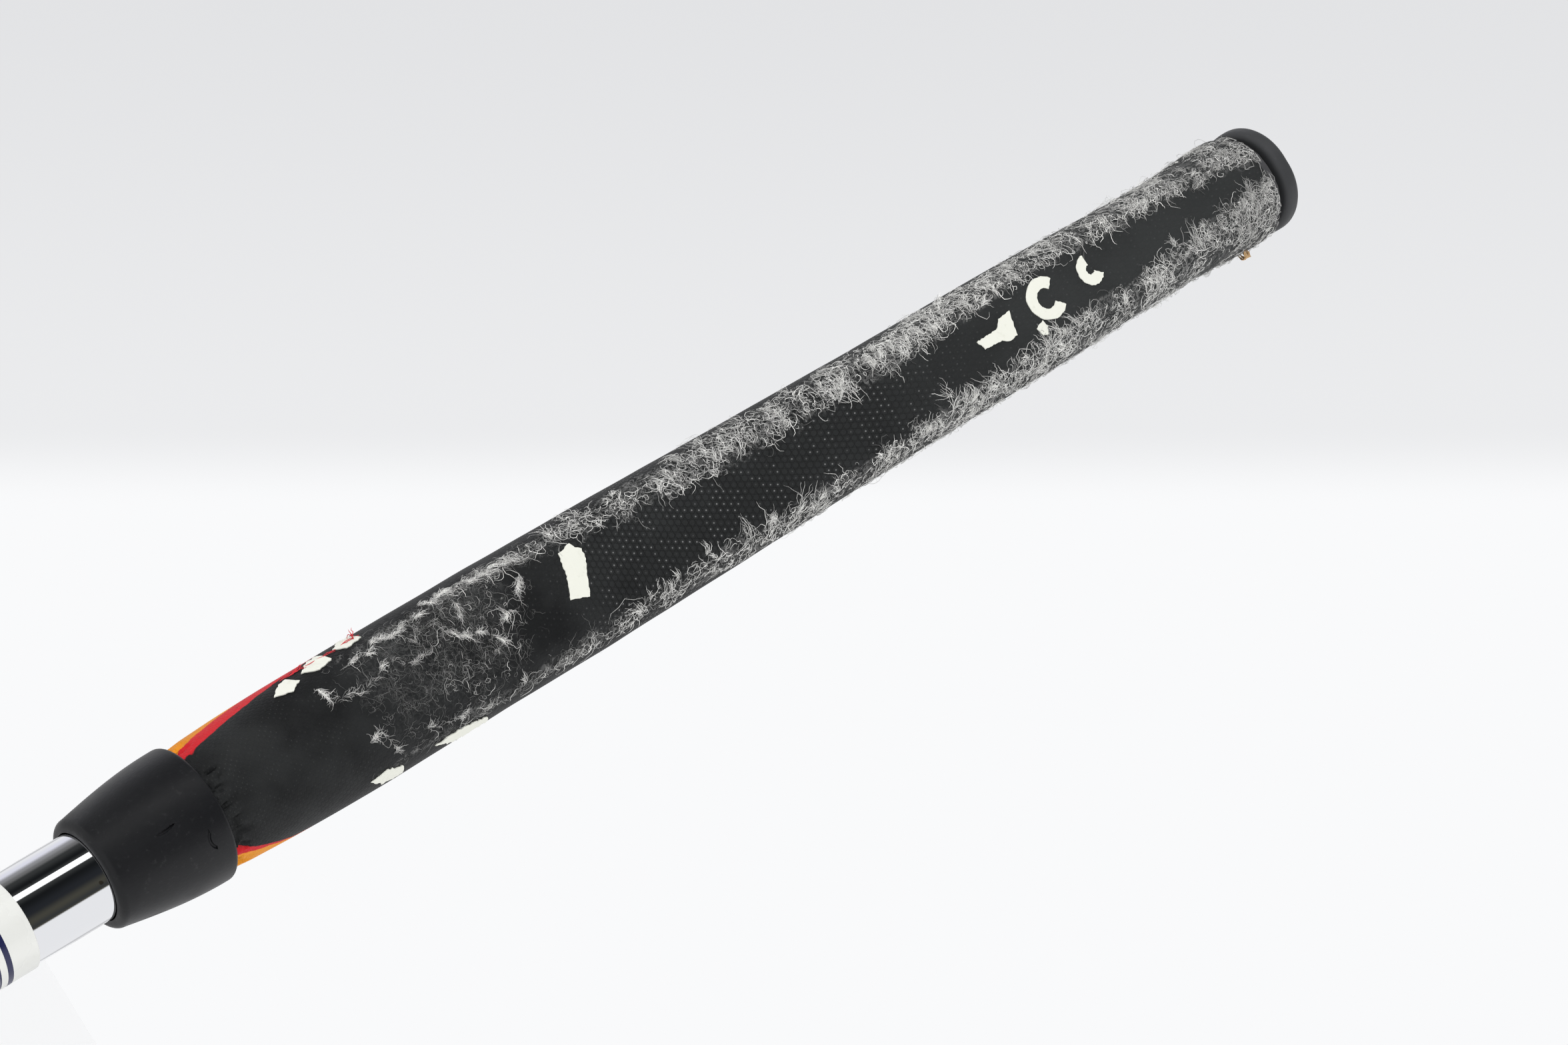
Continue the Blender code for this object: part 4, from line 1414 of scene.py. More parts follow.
SNAGS = (
    Snag("red_threads", (0.50, 0.020, 0.030), 14, (0.0400, 0.0545), -0.0106, 0.0, 0.0042, 0.00016,
         0.00007),
    Snag("red_snag", (0.50, 0.020, 0.030), 4, (0.0553, 0.0558), -0.0103, 1.3, 0.0018, 0.00090,
         0.00008),
    Snag("tan_flake", (0.42, 0.27, 0.13), 6, (0.2526, 0.2536), 0.0103, -1.2, 0.0030, 0.00120,
         0.00024),
)


@dataclass(frozen=True)
class Patch:
    """A part of the cover that single fibres grow on."""

    name: str
    count: int
    heights: tuple[float, float]
    sides: tuple[float, float]
    tone: float  # how pale the fibres are on the whole, from 0 to 1
    fine: float  # their thickness, as a share of the common one


PATCHES = (
    Patch("fuzz_left", 2800, (0.062, 0.261), (-0.0106, -0.0020), 0.50, 1.30),
    Patch("fuzz_right", 2900, (0.062, 0.261), (0.0010, 0.0109), 0.50, 1.30),
    Patch("fuzz_front", 1300, (0.043, 0.092), (-0.0100, 0.0100), 0.06, 0.60),
    Patch("fuzz_end", 420, (0.222, 0.2605), (-0.0105, 0.0108), 0.34, 1.20),
)


@dataclass
class Strands:
    """The fibres of one piece, with one value of each kind for each fibre."""

    height: np.ndarray  # of its root, along the shaft
    side: np.ndarray  # of its root, across the shaft
    heading: np.ndarray  # the way it sets off, from up the shaft, in radians
    length: np.ndarray
    curl: np.ndarray  # how far it turns on its way, in radians
    lift: np.ndarray  # how far it stands off the cover
    radius: np.ndarray
    tint: np.ndarray  # how pale it is, from 0 to 1


def spots(height: np.ndarray, side: np.ndarray) -> np.ndarray:
    """Returns points on the grip's front, for reading noise at."""
    return np.stack([np.full(len(height), 0.01), side, height], axis=1)


@dataclass
class Fuzz:
    """Loose felt fibres: thin bent strands that start on the cover and mostly lie on it."""

    shop: Workshop
    surface: GripSurface
    wear: Wear
    seed: int = 11
    joints: int = 7  # points along a fibre
    sides: int = 3  # faces round it
    tufts: int = 240
    vein_fibres: float = 26000  # on a metre of vein
    end_gap: float = 0.0019  # that fibres keep from the cap
    loose_share: float = 0.14  # of the fibres whose tips stand up

    def build(self) -> None:
        """Grows the fibres of each patch, the tufts, the veins and the snags."""
        felt = Felt("felt").build()
        share = 1.0
        rng = np.random.default_rng(self.seed)
        for patch in PATCHES:
            self.shop.finish(self._fibres(rng, patch, int(patch.count * share)), felt, "grip_cover")
        self.shop.finish(self._tufts(rng, int(self.tufts * share)), felt, "grip_cover")
        self.shop.finish(self._veins(rng, self.vein_fibres * share), felt, "grip_cover")
        self.build_snags()

    def build_snags(self) -> None:
        """Adds the red threads along the panel's torn edge and a tan flake near the butt."""
        rng = np.random.default_rng(self.seed + 1)
        for snag in SNAGS:
            look = Plain(snag.name, snag.colour, 0.7, 0.0, 900.0, 0.00001)
            n = snag.count
            strands = Strands(
                height=rng.uniform(*snag.heights, n), side=np.full(n, snag.side),
                heading=rng.normal(snag.heading, 0.12, n),
                length=rng.uniform(0.7, 1.2, n) * snag.length, curl=rng.normal(0, 0.6, n),
                lift=np.full(n, snag.lift), radius=np.full(n, snag.radius), tint=np.zeros(n),
            )
            obj = self._sweep(snag.name, rng, strands)
            self.shop.finish(obj, look.build(self.shop.effects), "grip_cover")

    def _roots(self, rng: np.random.Generator, count: int, heights: tuple[float, float],
               sides: tuple[float, float]) -> tuple[np.ndarray, np.ndarray]:
        """Picks where fibres start, more of them where the fuzz is thick.

        Args:
            rng: The source of chance.
            count: How many fibres there are.
            heights: The lowest and the highest place.
            sides: The Y that they lie between.

        Returns:
            The height and the Y of each root.
        """
        found = np.empty((2, 0))
        while found.shape[1] < count:
            height = rng.uniform(*heights, count)
            side = rng.uniform(*sides, count)
            rough = fractal(spots(height, side), 420.0, 3, 1.0)
            clump = fractal(spots(height, side), 260.0, 2, 9.0)
            thick = self.wear.density(height, side, rough) * np.clip(0.55 + clump * 0.9, 0.05, 1)
            kept = rng.random(count) < thick
            found = np.concatenate([found, [height[kept], side[kept]]], axis=1)
        return found[0, :count], found[1, :count]

    def _fibres(self, rng: np.random.Generator, patch: Patch, count: int) -> bpy.types.Object:
        """Makes a patch's single fibres, which lie on the cover in loose curls.

        Args:
            rng: The source of chance.
            patch: The patch.
            count: How many fibres it gets.

        Returns:
            The piece.
        """
        tone = patch.tone
        height, side = self._roots(rng, count, patch.heights, patch.sides)
        heading = rng.uniform(0, math.tau, count)
        length = rng.gamma(3.2, 0.00056, count) + 0.0005
        curl = rng.normal(0, 4.0, count)
        lift = rng.gamma(1.6, 0.00010, count) + 0.00004
        radius = rng.uniform(0.000022, 0.000042, count) * patch.fine
        thick = self.wear.density(height, side, np.zeros(count))
        clump = fractal(spots(height, side), 380.0, 2, 5.0)
        shift = 0.22 * thick + 0.30 * clump - 0.20 * ease(height, 0.225, 0.250)
        shift = shift - 0.45 * (1 - ease(thick, 0.24, 0.50)) * (tone > 0.3)
        tint = np.clip(rng.normal(tone, 0.35 * tone + 0.05, count) + shift * (tone + 0.3), 0, 1)
        strands = Strands(height, side, heading, length, curl, lift, radius, tint)
        return self._sweep(patch.name, rng, strands)

    def _tufts(self, rng: np.random.Generator, count: int) -> bpy.types.Object:
        """Makes brighter tufts: bundles of fibres that share a root and a heading.

        Args:
            rng: The source of chance.
            count: How many tufts there are.

        Returns:
            The piece.
        """
        height, side = self._roots(rng, count, (0.075, 0.259), (-0.0100, 0.0106))
        each = rng.integers(5, 14, count)
        which = np.repeat(np.arange(count), each)
        total = len(which)
        main = rng.normal(math.pi / 2, 0.5, count)[which]
        heading = main + rng.normal(0, 0.25, total)
        long = (rng.gamma(3.0, 0.0007, count) + 0.0008)[which]
        length = long * rng.uniform(0.6, 1.1, total)
        curl = rng.normal(0, 0.6, count)[which] + rng.normal(0, 0.5, total)
        lift = rng.gamma(2.0, 0.00018, total) + 0.00008
        radius = rng.uniform(0.000020, 0.000038, total)
        near_end = ease(height, 0.225, 0.250)[which]
        tint = np.clip(rng.normal(0.90, 0.1, total) - 0.35 * near_end, 0, 1)
        height = height[which] + rng.normal(0, 0.00012, total)
        side = side[which] + rng.normal(0, 0.00012, total)
        strands = Strands(height, side, heading, length, curl, lift, radius, tint)
        return self._sweep("fuzz_tufts", rng, strands)

    def _veins(self, rng: np.random.Generator, per_metre: float) -> bpy.types.Object:
        """Makes the matted veins that cross the front: fibres laid along wandering lines.

        Args:
            rng: The source of chance.
            per_metre: How many fibres lie on a metre of line.

        Returns:
            The piece.
        """
        roots, headings = [], []
        for vein in VEINS:
            line = np.array(vein)
            for a, b in zip(line, line[1:]):
                count = max(2, int(per_metre * np.linalg.norm(b - a)))
                roots.append(a + (b - a) * rng.random((count, 1)))
                headings.append(np.full(count, math.atan2(a[1] - b[1], b[0] - a[0])))
        places, heading = np.concatenate(roots), np.concatenate(headings)
        strong = fractal(spots(places[:, 0], places[:, 1]), 520.0, 2, 2.0)
        strong = np.clip(0.36 + 1.3 * strong, 0.08, 1.0)
        kept = rng.random(len(places)) < strong
        places, heading, strong = places[kept], heading[kept], strong[kept]
        places[:, 1] += 0.0010 * fractal(spots(places[:, 0], places[:, 1]), 330.0, 2, 7.0)
        total = len(places)
        places = places + rng.normal(0, 1, (total, 2)) * (0.00006 + 0.00009 * strong[:, None])
        heading = heading + rng.normal(0, 0.42, total)
        length = rng.gamma(3.0, 0.0003, total) + 0.0005
        tint = np.clip(rng.normal(0.32, 0.12, total) + 0.60 * strong, 0, 1)
        curl = rng.normal(0, 1.5, total)
        lift = rng.gamma(1.6, 0.00010, total) + 0.00004
        radius = rng.uniform(0.000014, 0.000028, total)
        strands = Strands(places[:, 0], places[:, 1], heading, length, curl, lift, radius, tint)
        return self._sweep("fuzz_veins", rng, strands)

    def _sweep(self, name: str, rng: np.random.Generator, strands: Strands) -> bpy.types.Object:
        """Sweeps a thin closed tube along each fibre.

        Args:
            name: The piece's name.
            rng: The source of chance.
            strands: The fibres.

        Returns:
            The piece, in the shaft's frame.
        """
        count, n = len(strands.height), self.joints
        t = np.linspace(0, 1, n)
        angle = strands.heading[:, None] + strands.curl[:, None] * t
        angle = angle + rng.normal(0, 0.38, (count, n))
        step = strands.length[:, None] / (n - 1)
        along, around = (
            np.concatenate([np.zeros((count, 1)),
                            np.cumsum(part(angle[:, :-1]) * step, axis=1)], axis=1)
            for part in (np.cos, np.sin)
        )
        share = self.surface.share_of_side(strands.height, strands.side)
        highest = self.surface.high - self.end_gap
        heights = np.minimum(strands.height[:, None] + along, highest)
        shares = share[:, None] + around / self.surface.girth_at(heights)
        points, normals = self.surface.at(heights, shares)
        loose = rng.random(count)[:, None] < self.loose_share
        rise = np.where(loose, t**1.2 * 1.6, np.sin(math.pi * t) ** 0.8)
        points = points + normals * (0.00004 + rise * strands.lift[:, None])[..., None]
        forward = np.gradient(points, axis=1)
        forward /= np.linalg.norm(forward, axis=2, keepdims=True)
        beside = np.cross(forward, normals)
        beside /= np.linalg.norm(beside, axis=2, keepdims=True)
        over = np.cross(beside, forward)
        taper = strands.radius[:, None] * (1.0 - 0.65 * np.abs(2 * t - 1) ** 2.5)
        turns = np.arange(self.sides) * math.tau / self.sides
        ring = (beside[:, :, None] * np.cos(turns)[:, None]
                + over[:, :, None] * np.sin(turns)[:, None]) * taper[..., None, None]
        verts = (points[:, :, None] + ring).reshape(-1, 3)
        obj = raw_piece(name, verts, self._faces(count))
        layer = obj.data.attributes.new("tint", "FLOAT", "POINT")
        layer.data.foreach_set("value", np.repeat(strands.tint, n * self.sides).astype(np.float32))
        return obj

    def _faces(self, count: int) -> list:
        """Returns the faces of closed tubes whose rings lie one after another."""
        n, m = self.joints, self.sides
        one = [[j * m + k, (j + 1) * m + k, (j + 1) * m + (k + 1) % m, j * m + (k + 1) % m]
               for j in range(n - 1) for k in range(m)]
        quads = (np.array(one)[None] + (np.arange(count) * n * m)[:, None, None]).reshape(-1, 4)
        ends = np.array([[0, 1, 2], [(n - 1) * m + 2, (n - 1) * m + 1, (n - 1) * m]])
        caps = (ends[None] + (np.arange(count) * n * m)[:, None, None]).reshape(-1, 3)
        return [*quads.tolist(), *caps.tolist()]


# ---------------------------------------------------------------- the shaft
@dataclass
class Shaft:
    """The chromed tube and its printed band."""

    shop: Workshop
    sides: int = 96

    def build(self) -> None:
        """Makes the tube and the band."""
        self.build_tube(Chrome("chrome").build(self.shop.effects))
        self.build_band()

    def _profile(self, node: str) -> dict[float, list[float]]:
        """Returns a CAD node's radii at each height, in the shaft's frame."""
        found: dict[float, list[float]] = {}
        for p in self.shop.shaft.corners(self.shop.frame["nodes"][node]):
            found.setdefault(round(p.z, 4), []).append(math.hypot(p.x, p.y))
        return found

    def build_tube(self, chrome: bpy.types.Material) -> None:
        """The stepped tube, turned from the CAD tube's own stations."""
        stations = self._profile("shaft")
        outer = [(max(radii), height) for height, radii in sorted(stations.items())]
        inner = [(min(radii), height) for height, radii in sorted(stations.items())]
        obj = turned("tube", outer + inner[::-1], self.sides)
        self.shop.finish(obj, chrome, "chromed_steel", "shaft")

    def build_band(self) -> None:
        """The printed band, with softly rounded edges."""
        stations = self._profile("shaft_band")
        low, high = min(stations), max(stations)
        outer = max(max(radii) for radii in stations.values())
        inner = min(min(radii) for radii in stations.values())
        soft = (outer - inner) / 2
        profile = [(inner, low), (outer - soft, low), (outer, low + soft), (outer, high - soft),
                   (outer - soft, high), (inner, high)]
        obj = turned("band", profile, self.sides)
        band = BandPrint("band_print").build(self.shop.effects, self.shop.shaft, high)
        self.shop.finish(obj, band, "band_vinyl", "shaft_band")


# ---------------------------------------------------------------- the head
def node_box(node: str) -> tuple[Vector, Vector]:
    """Returns a CAD node's lowest and highest corners."""
    low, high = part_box(node)
    return Vector(low), Vector(high)


@dataclass
class Head:
    """The cast head, its insert and its offset neck, in the world's frame but for the neck."""

    shop: Workshop
    low: Vector = field(init=False)
    high: Vector = field(init=False)
    blade_thickness: float = 0.0095
    blade_corner: float = 0.008
    flange_thickness: float = 0.0065
    flange_corner: float = 0.012
    bumper_length: float = 0.021
    bumper_height: float = 0.0175
    bumper_setback: float = 0.0035
    sole_flat: float = 0.044
    sole_camber: float = 0.25
    sole_corner: float = 0.0055
    hosel_length: float = 0.033
    post_width: float = 0.0095
    post_depth: float = 0.0078
    crank_height: float = 0.0095
    shaft_insertion: float = 0.026
    fit_gap: float = 0.0002
    insert_seat: float = 0.0008  # the seat's floor below the insert
    flange_inset: float = 0.001
    bumper_inset: float = 0.002
    bumper_corner: float = 0.005
    sunk: float = -0.003  # where shapes start, below the sole that is then cut
    into_blade: float = 0.004  # how far the flange and bumpers reach into the blade
    body_voxel: float = 0.00042
    neck_voxel: float = 0.00028
    smoothing: int = 6
    insert_round: float = 0.0003
    grooves: int = 8
    groove_pitch: float = 0.0017
    groove_half: float = 0.0002  # half a groove's width, and its depth
    groove_margin: float = 0.0016

    def build(self) -> None:
        """Makes and dresses the pieces of the head."""
        effects = self.shop.effects
        self.low, self.high = node_box("head_body")
        self.build_body(Steel("cast_steel", milled_above=self.high.y - 0.0003).build(effects))
        self.build_insert(
            Plain("urethane", (0.74, 0.74, 0.70), 0.36, 0.0, 1100.0, 0.00001).build(effects)
        )
        self.build_neck(Steel("neck_steel").build(effects))

    def build_body(self, steel: bpy.types.Material) -> None:
        """The body: blade, flange and bumpers joined, softened, then cut for what sits in it."""
        low, high = self.low, self.high
        r = self.blade_corner
        blade_back = high.y - self.blade_thickness
        blade = [(high.x, self.sunk), *arc((high.x - r, high.z - r), r, 0, 90, 16),
                 *arc((low.x + r, high.z - r), r, 90, 180, 16), (low.x, self.sunk)]
        body = prism("head", blade, blade_back, high.y, "Y")
        r, front = self.flange_corner, high.y - self.into_blade
        left, right = low.x + self.flange_inset, high.x - self.flange_inset
        flange = [*arc((left + r, low.y + r), r, 180, 270, 16),
                  *arc((right - r, low.y + r), r, 270, 360, 16), (right, front), (left, front)]
        combine(body, "UNION", prism("flange", flange, self.sunk, self.flange_thickness))
        for way in (1, -1):
            combine(body, "UNION", self._bumper(way, front))
        combine(body, "DIFFERENCE", prism("sole_cutter", self._under_sole(), -0.1, 0.1, "Y"))
        softened(body, self.body_voxel, self.smoothing)
        self._cut_seats(body)
        shade(body, 40.0)
        self.shop.finish(body, steel, "satin_steel", "head_body", on_shaft=False)

    def _bumper(self, way: int, front: float) -> bpy.types.Object:
        """Makes the raised block behind the blade at one end of the head.

        Args:
            way: 1 at the toe, -1 at the heel.
            front: The Y that it reaches forward to.

        Returns:
            The block.
        """
        r, back = self.bumper_corner, self.low.y + self.bumper_setback
        outer, inner = self.high.x - self.bumper_inset, self.high.x - self.bumper_length
        edge = [*arc((inner + r, back + r), r, 180, 270, 10),
                *arc((outer - r, back + r), r, 270, 360, 10), (outer, front), (inner, front)]
        edge = [(way * x, y) for x, y in edge]
        return prism("bumper", edge, self.sunk, self.bumper_height)

    def _sole_rise(self, x: float) -> float:
        """Returns how far the sole has risen at a distance from the middle."""
        camber = max(0.0, abs(x) - self.sole_flat / 2) ** 2 / (2 * self.sole_camber)
        r = self.sole_corner
        past = min(max(0.0, abs(x) - self.high.x + r), r)
        return camber + r - math.sqrt(r**2 - past**2)

    def _under_sole(self) -> Outline:
        """Returns the outline, in X and Z, of what is cut away below the sole."""
        half, r = self.high.x, self.sole_corner
        marks = [self.sole_flat / 2 + (half - r - self.sole_flat / 2) * k / 14 for k in range(15)]
        marks += [half - r + r * math.sin(math.radians(82) * k / 10) for k in range(1, 11)]
        edge = [(x, self._sole_rise(x)) for x in marks]
        edge += [(half + 0.001, self._sole_rise(half)), (half + 0.05, -0.05)]
        return [(-x, z) for x, z in reversed(edge)] + edge

    def _cut_seats(self, body: bpy.types.Object) -> None:
        """Cuts the seats of the insert, the sight line and the two weights."""
        gap = self.fit_gap
        low, high = node_box("face_insert")
        pocket = prism("pocket", self._stadium(low, high, gap), low.y - self.insert_seat, 0.1, "Y")
        combine(body, "DIFFERENCE", pocket)
        low, high = node_box("sight_line")
        groove = block("groove", (low.x - gap, low.y - gap, low.z - gap),
                       (high.x + gap, high.y + gap, 0.05))
        combine(body, "DIFFERENCE", groove)
        for node in ("heel_weight", "toe_weight"):
            low, high = node_box(node)
            middle = ((low.x + high.x) / 2, (low.y + high.y) / 2)
            bore = cylinder("bore", (high.x - low.x) / 2 + gap, -0.05, high.z, middle)
            combine(body, "DIFFERENCE", bore)

    @staticmethod
    def _stadium(low: Vector, high: Vector, grow: float) -> Outline:
        """Returns a slot outline with round ends, in X and Z, round a box."""
        r = (high.z - low.z) / 2 + grow
        middle = (low.z + high.z) / 2
        right = arc((high.x + grow - r, middle), r, -90, 90, 24)
        return right + arc((low.x - grow + r, middle), r, 90, 270, 24)

    def build_insert(self, urethane: bpy.types.Material) -> None:
        """The face insert, with fine level grooves and a softened edge."""
        low, high = node_box("face_insert")
        insert = prism("insert", self._stadium(low, high, 0.0), low.y, high.y, "Y")
        apply_modifier(insert, "BEVEL", width=self.insert_round, segments=3, limit_method="ANGLE",
                       angle_limit=math.radians(60))
        middle, r, half = (low.z + high.z) / 2, (high.z - low.z) / 2, self.groove_half
        for k in range(self.grooves):
            off = (k - (self.grooves - 1) / 2) * self.groove_pitch
            inset = r - math.sqrt(r**2 - (abs(off) + half) ** 2) + self.groove_margin
            cutter = block("cut", (low.x + inset, high.y - half, middle + off - half),
                           (high.x - inset, high.y + 0.01, middle + off + half))
            combine(insert, "DIFFERENCE", cutter)
        shade(insert, 40.0)
        self.shop.finish(insert, urethane, "insert_urethane", "face_insert", on_shaft=False)

    def build_neck(self, steel: bpy.types.Material) -> None:
        """The neck: a bored hosel with an offset crank and post, softened as one casting."""
        shaft, frame = self.shop.shaft, self.shop.frame
        low, high = shaft.span(frame["nodes"]["neck"])
        corners = shaft.corners(frame["nodes"]["neck"])
        mouth = [math.hypot(p.x, p.y) for p in corners if p.z > high - 0.0015]
        radius, bore, back = max(mouth), min(mouth), min(p.y for p in corners)
        bottom, half = high - self.hosel_length, self.post_width / 2
        neck = cylinder("neck_casting", radius, bottom, high, sides=96)
        crank = block("crank", (-half, back, bottom + 0.0005),
                      (half, 0.0, bottom + self.crank_height))
        combine(neck, "UNION", crank)
        post = block("post", (-half, back, low),
                     (half, back + self.post_depth, bottom + self.crank_height * 0.7))
        combine(neck, "UNION", post)
        softened(neck, self.neck_voxel, self.smoothing)
        floor = high - self.shaft_insertion
        combine(neck, "DIFFERENCE", cylinder("drill", bore, floor, floor + 0.05))
        shade(neck, 40.0)
        self.shop.finish(neck, steel, "satin_steel", "neck")


# ---------------------------------------------------------------- the studio
@dataclass
class Studio:
    """Floor, light and camera."""

    shaft: ShaftFrame
    # The camera in the shaft's frame, how far the shaft tips back, and its turn in the picture
    camera_place: tuple[float, float, float] = (0.5431, 0.0090, -0.2014)
    tip: float = math.radians(32.0)
    turn: float = math.radians(31.36)
    lens: float = 86.83
    sensor: float = 36.0
    floor_size: float = 80.0
    floor_drop: float = -0.0002

    def build(self) -> None:
        """Sets the studio up."""
        bpy.context.scene.view_settings.view_transform = "Standard"
        self.build_floor()
        self.build_world()
        self.build_lights()
        self.build_camera()

    def build_floor(self) -> None:
        """A plain pale floor, which glows more far off so that its edge melts into the wall."""
        deselect()
        bpy.ops.mesh.primitive_plane_add(size=self.floor_size, location=(0, 0, self.floor_drop))
        floor = added("floor")
        made = bpy.data.materials.new("floor")
        made.use_nodes = True
        graph = Graph(made.node_tree)
        shader = made.node_tree.nodes["Principled BSDF"]
        far = graph.vector("LENGTH", graph.place(), (0, 0, 0)).outputs["Value"]
        glow = graph.mix(graph.range(far, 0.6, 3.0), (0.36, 0.36, 0.365), (0.70, 0.705, 0.71))
        graph.feed(shader, {
            "Base Color": (0.44, 0.44, 0.442, 1.0),
            "Roughness": 0.8,
            "Specular IOR Level": 0.1,
            "Emission Color": glow,
            "Emission Strength": 1.0,
        })
        floor.data.materials.append(made)

    def build_world(self) -> None:
        """A pale room that is dark on the side that the grip's flat faces, as if behind a camera."""
        world = bpy.data.worlds.new("studio")
        bpy.context.scene.world = world
        world.use_nodes = True
        graph = Graph(world.node_tree)
        background = world.node_tree.nodes["Background"]
        way = graph.add("ShaderNodeTexCoord").outputs["Generated"]
        turned_way = graph.add("ShaderNodeMapping", {
            "Vector": way, "Rotation": self.shaft.matrix().to_euler(),
        }, vector_type="TEXTURE").outputs[0]
        parts = graph.add("ShaderNodeSeparateXYZ", {0: turned_way}).outputs
        angle = graph.math("ARCTAN2", parts["Y"], parts["X"])
        share = graph.math("MULTIPLY_ADD", angle, 1 / math.tau)
        share.node.inputs[2].default_value = 0.5
        ramp = graph.add("ShaderNodeValToRGB", {0: share})
        ramp.color_ramp.interpolation = "EASE"
        stops = self._room()
        elements = ramp.color_ramp.elements
        elements[0].position, elements[0].color = stops[0][0], (*stops[0][1], 1.0)
        elements[1].position, elements[1].color = stops[-1][0], (*stops[-1][1], 1.0)
        for position, colour in stops[1:-1]:
            elements.new(position).color = (*colour, 1.0)
        seen = graph.add("ShaderNodeLightPath").outputs["Is Camera Ray"]
        colour = graph.mix(seen, ramp.outputs[0], self._wall(graph, way))
        graph.feed(background, {"Color": colour, "Strength": 1.0})

    def _wall(self, graph: Graph, way: Socket) -> Socket:
        """Returns the wall's colour: white, and grey above a soft edge behind the grip."""
        up = self.shaft.matrix().to_3x3() @ self._camera_axes().col[1]
        rise = graph.vector("DOT_PRODUCT", way, tuple(up)).outputs["Value"]
        grey = graph.math("ADD", graph.range(rise, 0.004, 0.026, 0.0, 0.6),
                          graph.range(rise, 0.0, 0.16, 0.0, 0.4))
        return graph.mix(grey, (0.95, 0.955, 0.965), (0.76, 0.765, 0.78))

    @staticmethod
    def _room() -> list[tuple[float, Colour]]:
        """Returns the room's colours round the shaft, from behind, by -Y, to behind again."""
        def at(degrees: float) -> float:
            """Returns the share of the way round."""
            return 0.5 + degrees / 360.0

        pale, cool, grey = (0.90, 0.90, 0.91), (0.80, 0.80, 0.88), (0.30, 0.30, 0.31)
        dark, dim, olive = (0.010, 0.011, 0.012), (0.040, 0.042, 0.042), (0.062, 0.060, 0.048)
        bright, soft = (1.9, 1.9, 1.88), (0.58, 0.58, 0.59)
        return [
            (at(-180), dark), (at(-174), dark), (at(-166), pale), (at(-150), soft),
            (at(-140), pale), (at(-117), cool), (at(-101), grey), (at(-88), (0.16, 0.16, 0.16)),
            (at(-78), dim), (at(-58), dark), (at(-48), dim), (at(-46), bright),
            (at(-35), bright), (at(-33), dim), (at(-18), dark), (at(6), (0.020, 0.022, 0.026)),
            (at(24), olive), (at(38), dim), (at(42), olive), (at(46), pale),
            (at(140), pale), (at(150), soft), (at(166), pale), (at(174), dark), (at(180), dark),
        ]

    def build_lights(self) -> None:
        """Soft boxes that light the matt surfaces and stay out of the chrome."""
        self._area("front_box", -18.0, 0.30, 1.2, (0.9, 1.4), 15.0)
        self._area("side_box", -75.0, 0.45, 1.3, (0.5, 1.0), 6.0)
        self._area("fill_box", 80.0, 0.25, 1.3, (0.7, 1.2), 9.0)

    def _area(self, name: str, around: float, rise: float, far: float,
              size: tuple[float, float], power: float) -> None:
        """Hangs an area light round the grip.

        Args:
            name: Its name.
            around: Where it is round the shaft, from the way the flat faces, in degrees.
            rise: How far up the shaft it is from the collar.
            far: How far from the shaft.
            size: Its width and length.
            power: Its power in watts.
        """
        data = bpy.data.lights.new(name, "AREA")
        data.shape = "RECTANGLE"
        data.size, data.size_y = size
        data.energy = power
        light = bpy.data.objects.new(name, data)
        bpy.context.scene.collection.objects.link(light)
        a = math.radians(around)
        out = Vector((math.cos(a), math.sin(a), 0.0))
        up = Vector((0, 0, 1))
        x_axis = up.cross(out).normalized()
        turn = Matrix((x_axis, up, x_axis.cross(up))).transposed()
        place = Matrix.Translation(out * far + Vector((0, 0, rise))) @ turn.to_4x4()
        light.matrix_world = self.shaft.matrix() @ place
        light.visible_glossy = False

    def _camera_axes(self) -> Matrix:
        """Returns the camera's axes in the shaft's frame, as columns: right, up and backwards."""
        tip, turn = self.tip, self.turn
        return Matrix((
            (math.sin(tip) * math.cos(turn), math.sin(tip) * math.sin(turn), math.cos(tip)),
            (math.sin(turn), -math.cos(turn), 0.0),
            (math.cos(tip) * math.cos(turn), math.cos(tip) * math.sin(turn), -math.sin(tip)),
        ))

    def build_camera(self) -> None:
        """The camera, near the toe's side, looking up the grip from below it."""
        data = bpy.data.cameras.new("camera")
        data.lens = self.lens
        data.sensor_width = self.sensor
        data.clip_start = 0.01
        camera = bpy.data.objects.new("camera", data)
        bpy.context.scene.collection.objects.link(camera)
        place = Matrix.Translation(self.camera_place) @ self._camera_axes().to_4x4()
        camera.matrix_world = self.shaft.matrix() @ place
        bpy.context.scene.camera = camera


# ---------------------------------------------------------------- the whole
def dress_kept(frame: dict, effects: Effects) -> None:
    """Gives a finish to each CAD piece that is kept as it is."""
    finishes = {
        "grip_core": Plain("grip_foam", (0.045, 0.045, 0.047), 0.9, 0.0, 900.0, 0.00012),
        "grip_tape": Plain("creped_tape", (0.70, 0.66, 0.55), 0.8, 0.0, 1300.0, 0.00006),
        "tip_weight": Steel("plug_steel", (0.30, 0.30, 0.31), 0.5),
        "insert_tape": Plain("film", (0.08, 0.08, 0.085), 0.7),
        "heel_weight": Steel("heel_weight_metal", (0.26, 0.26, 0.27), 0.3),
        "toe_weight": Steel("toe_weight_metal", (0.26, 0.26, 0.27), 0.3),
        "sight_line": Plain("line_paint", (0.82, 0.82, 0.80), 0.5),
    }
    for name, finish in finishes.items():
        mesh = frame["nodes"][name].data
        mesh.materials.clear()
        mesh.materials.append(finish.build(effects))


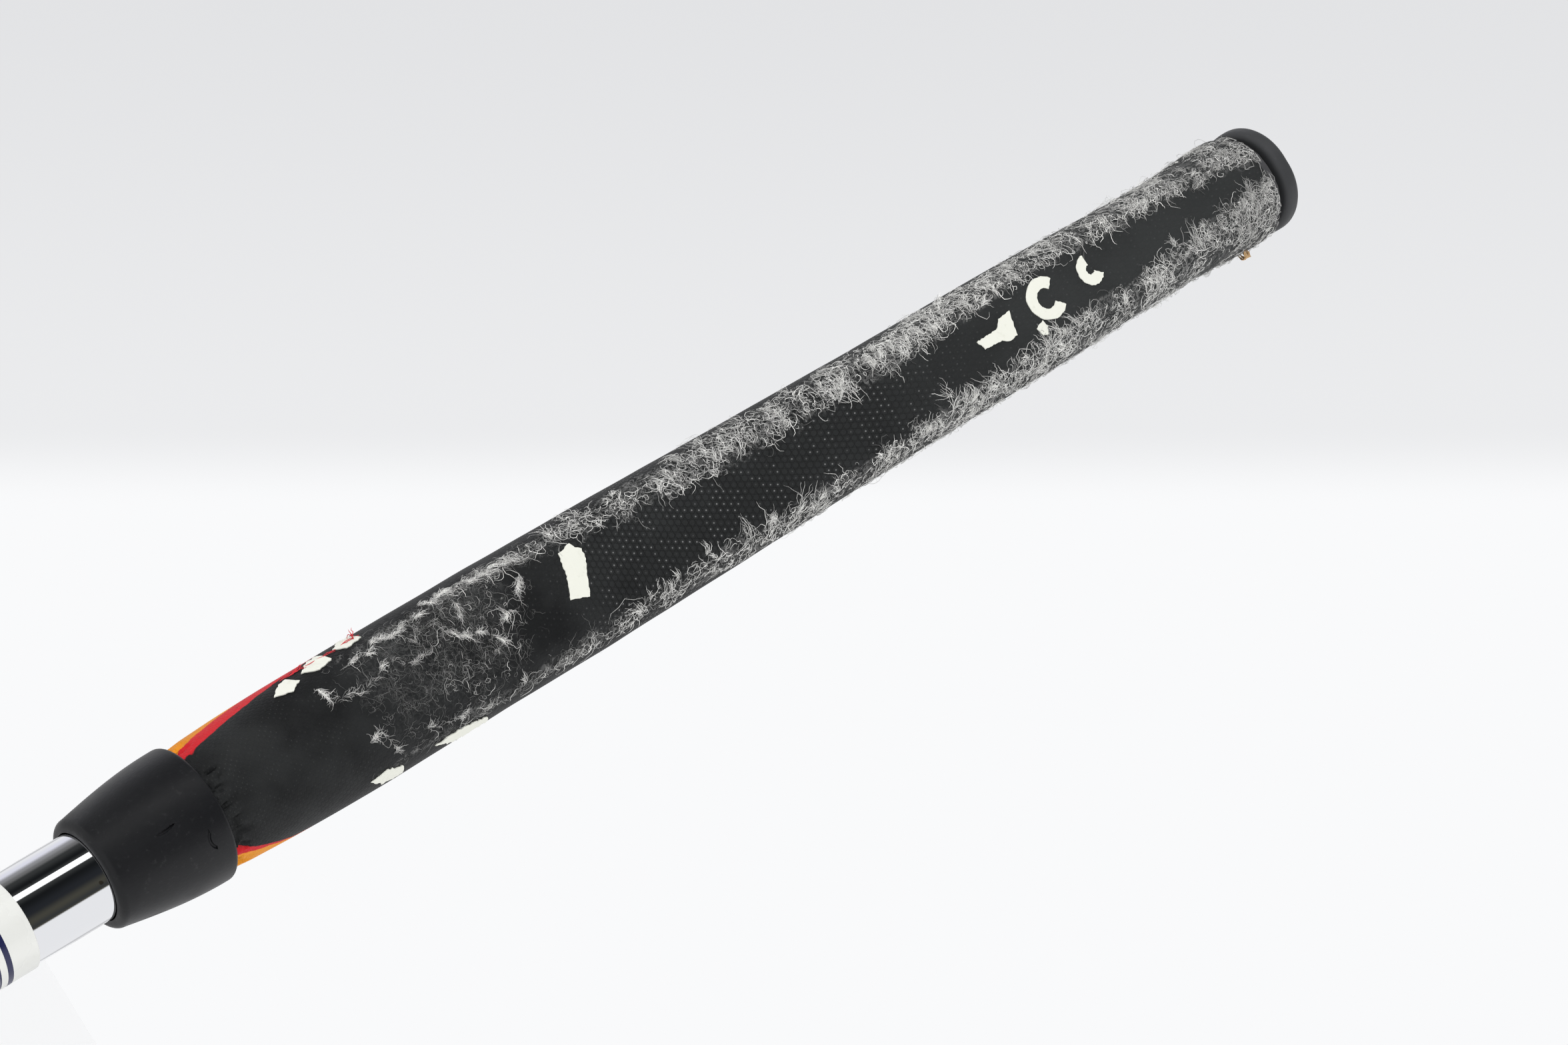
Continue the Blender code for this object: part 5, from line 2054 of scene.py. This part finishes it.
def main() -> None:
    """Builds the putter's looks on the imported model, and its studio."""
    logging.basicConfig(level=logging.INFO, format="%(name)s %(message)s")
    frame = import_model()
    shaft = ShaftFrame.of_model(frame)
    Studio(shaft).build()
    shop = Workshop(frame, shaft, Effects())
    low, high = shaft.span(frame["nodes"]["grip_wrap"])
    surface = GripSurface(low, high)
    wear = Wear()
    collar_length = shaft.span(frame["nodes"]["nose_collar"])[1]
    Grip(shop, surface, wear, collar_length).build()
    Fuzz(shop, surface, wear).build()
    Shaft(shop).build()
    Head(shop).build()
    dress_kept(frame, shop.effects)
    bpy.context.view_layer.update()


if __name__ == "__main__":
    main()
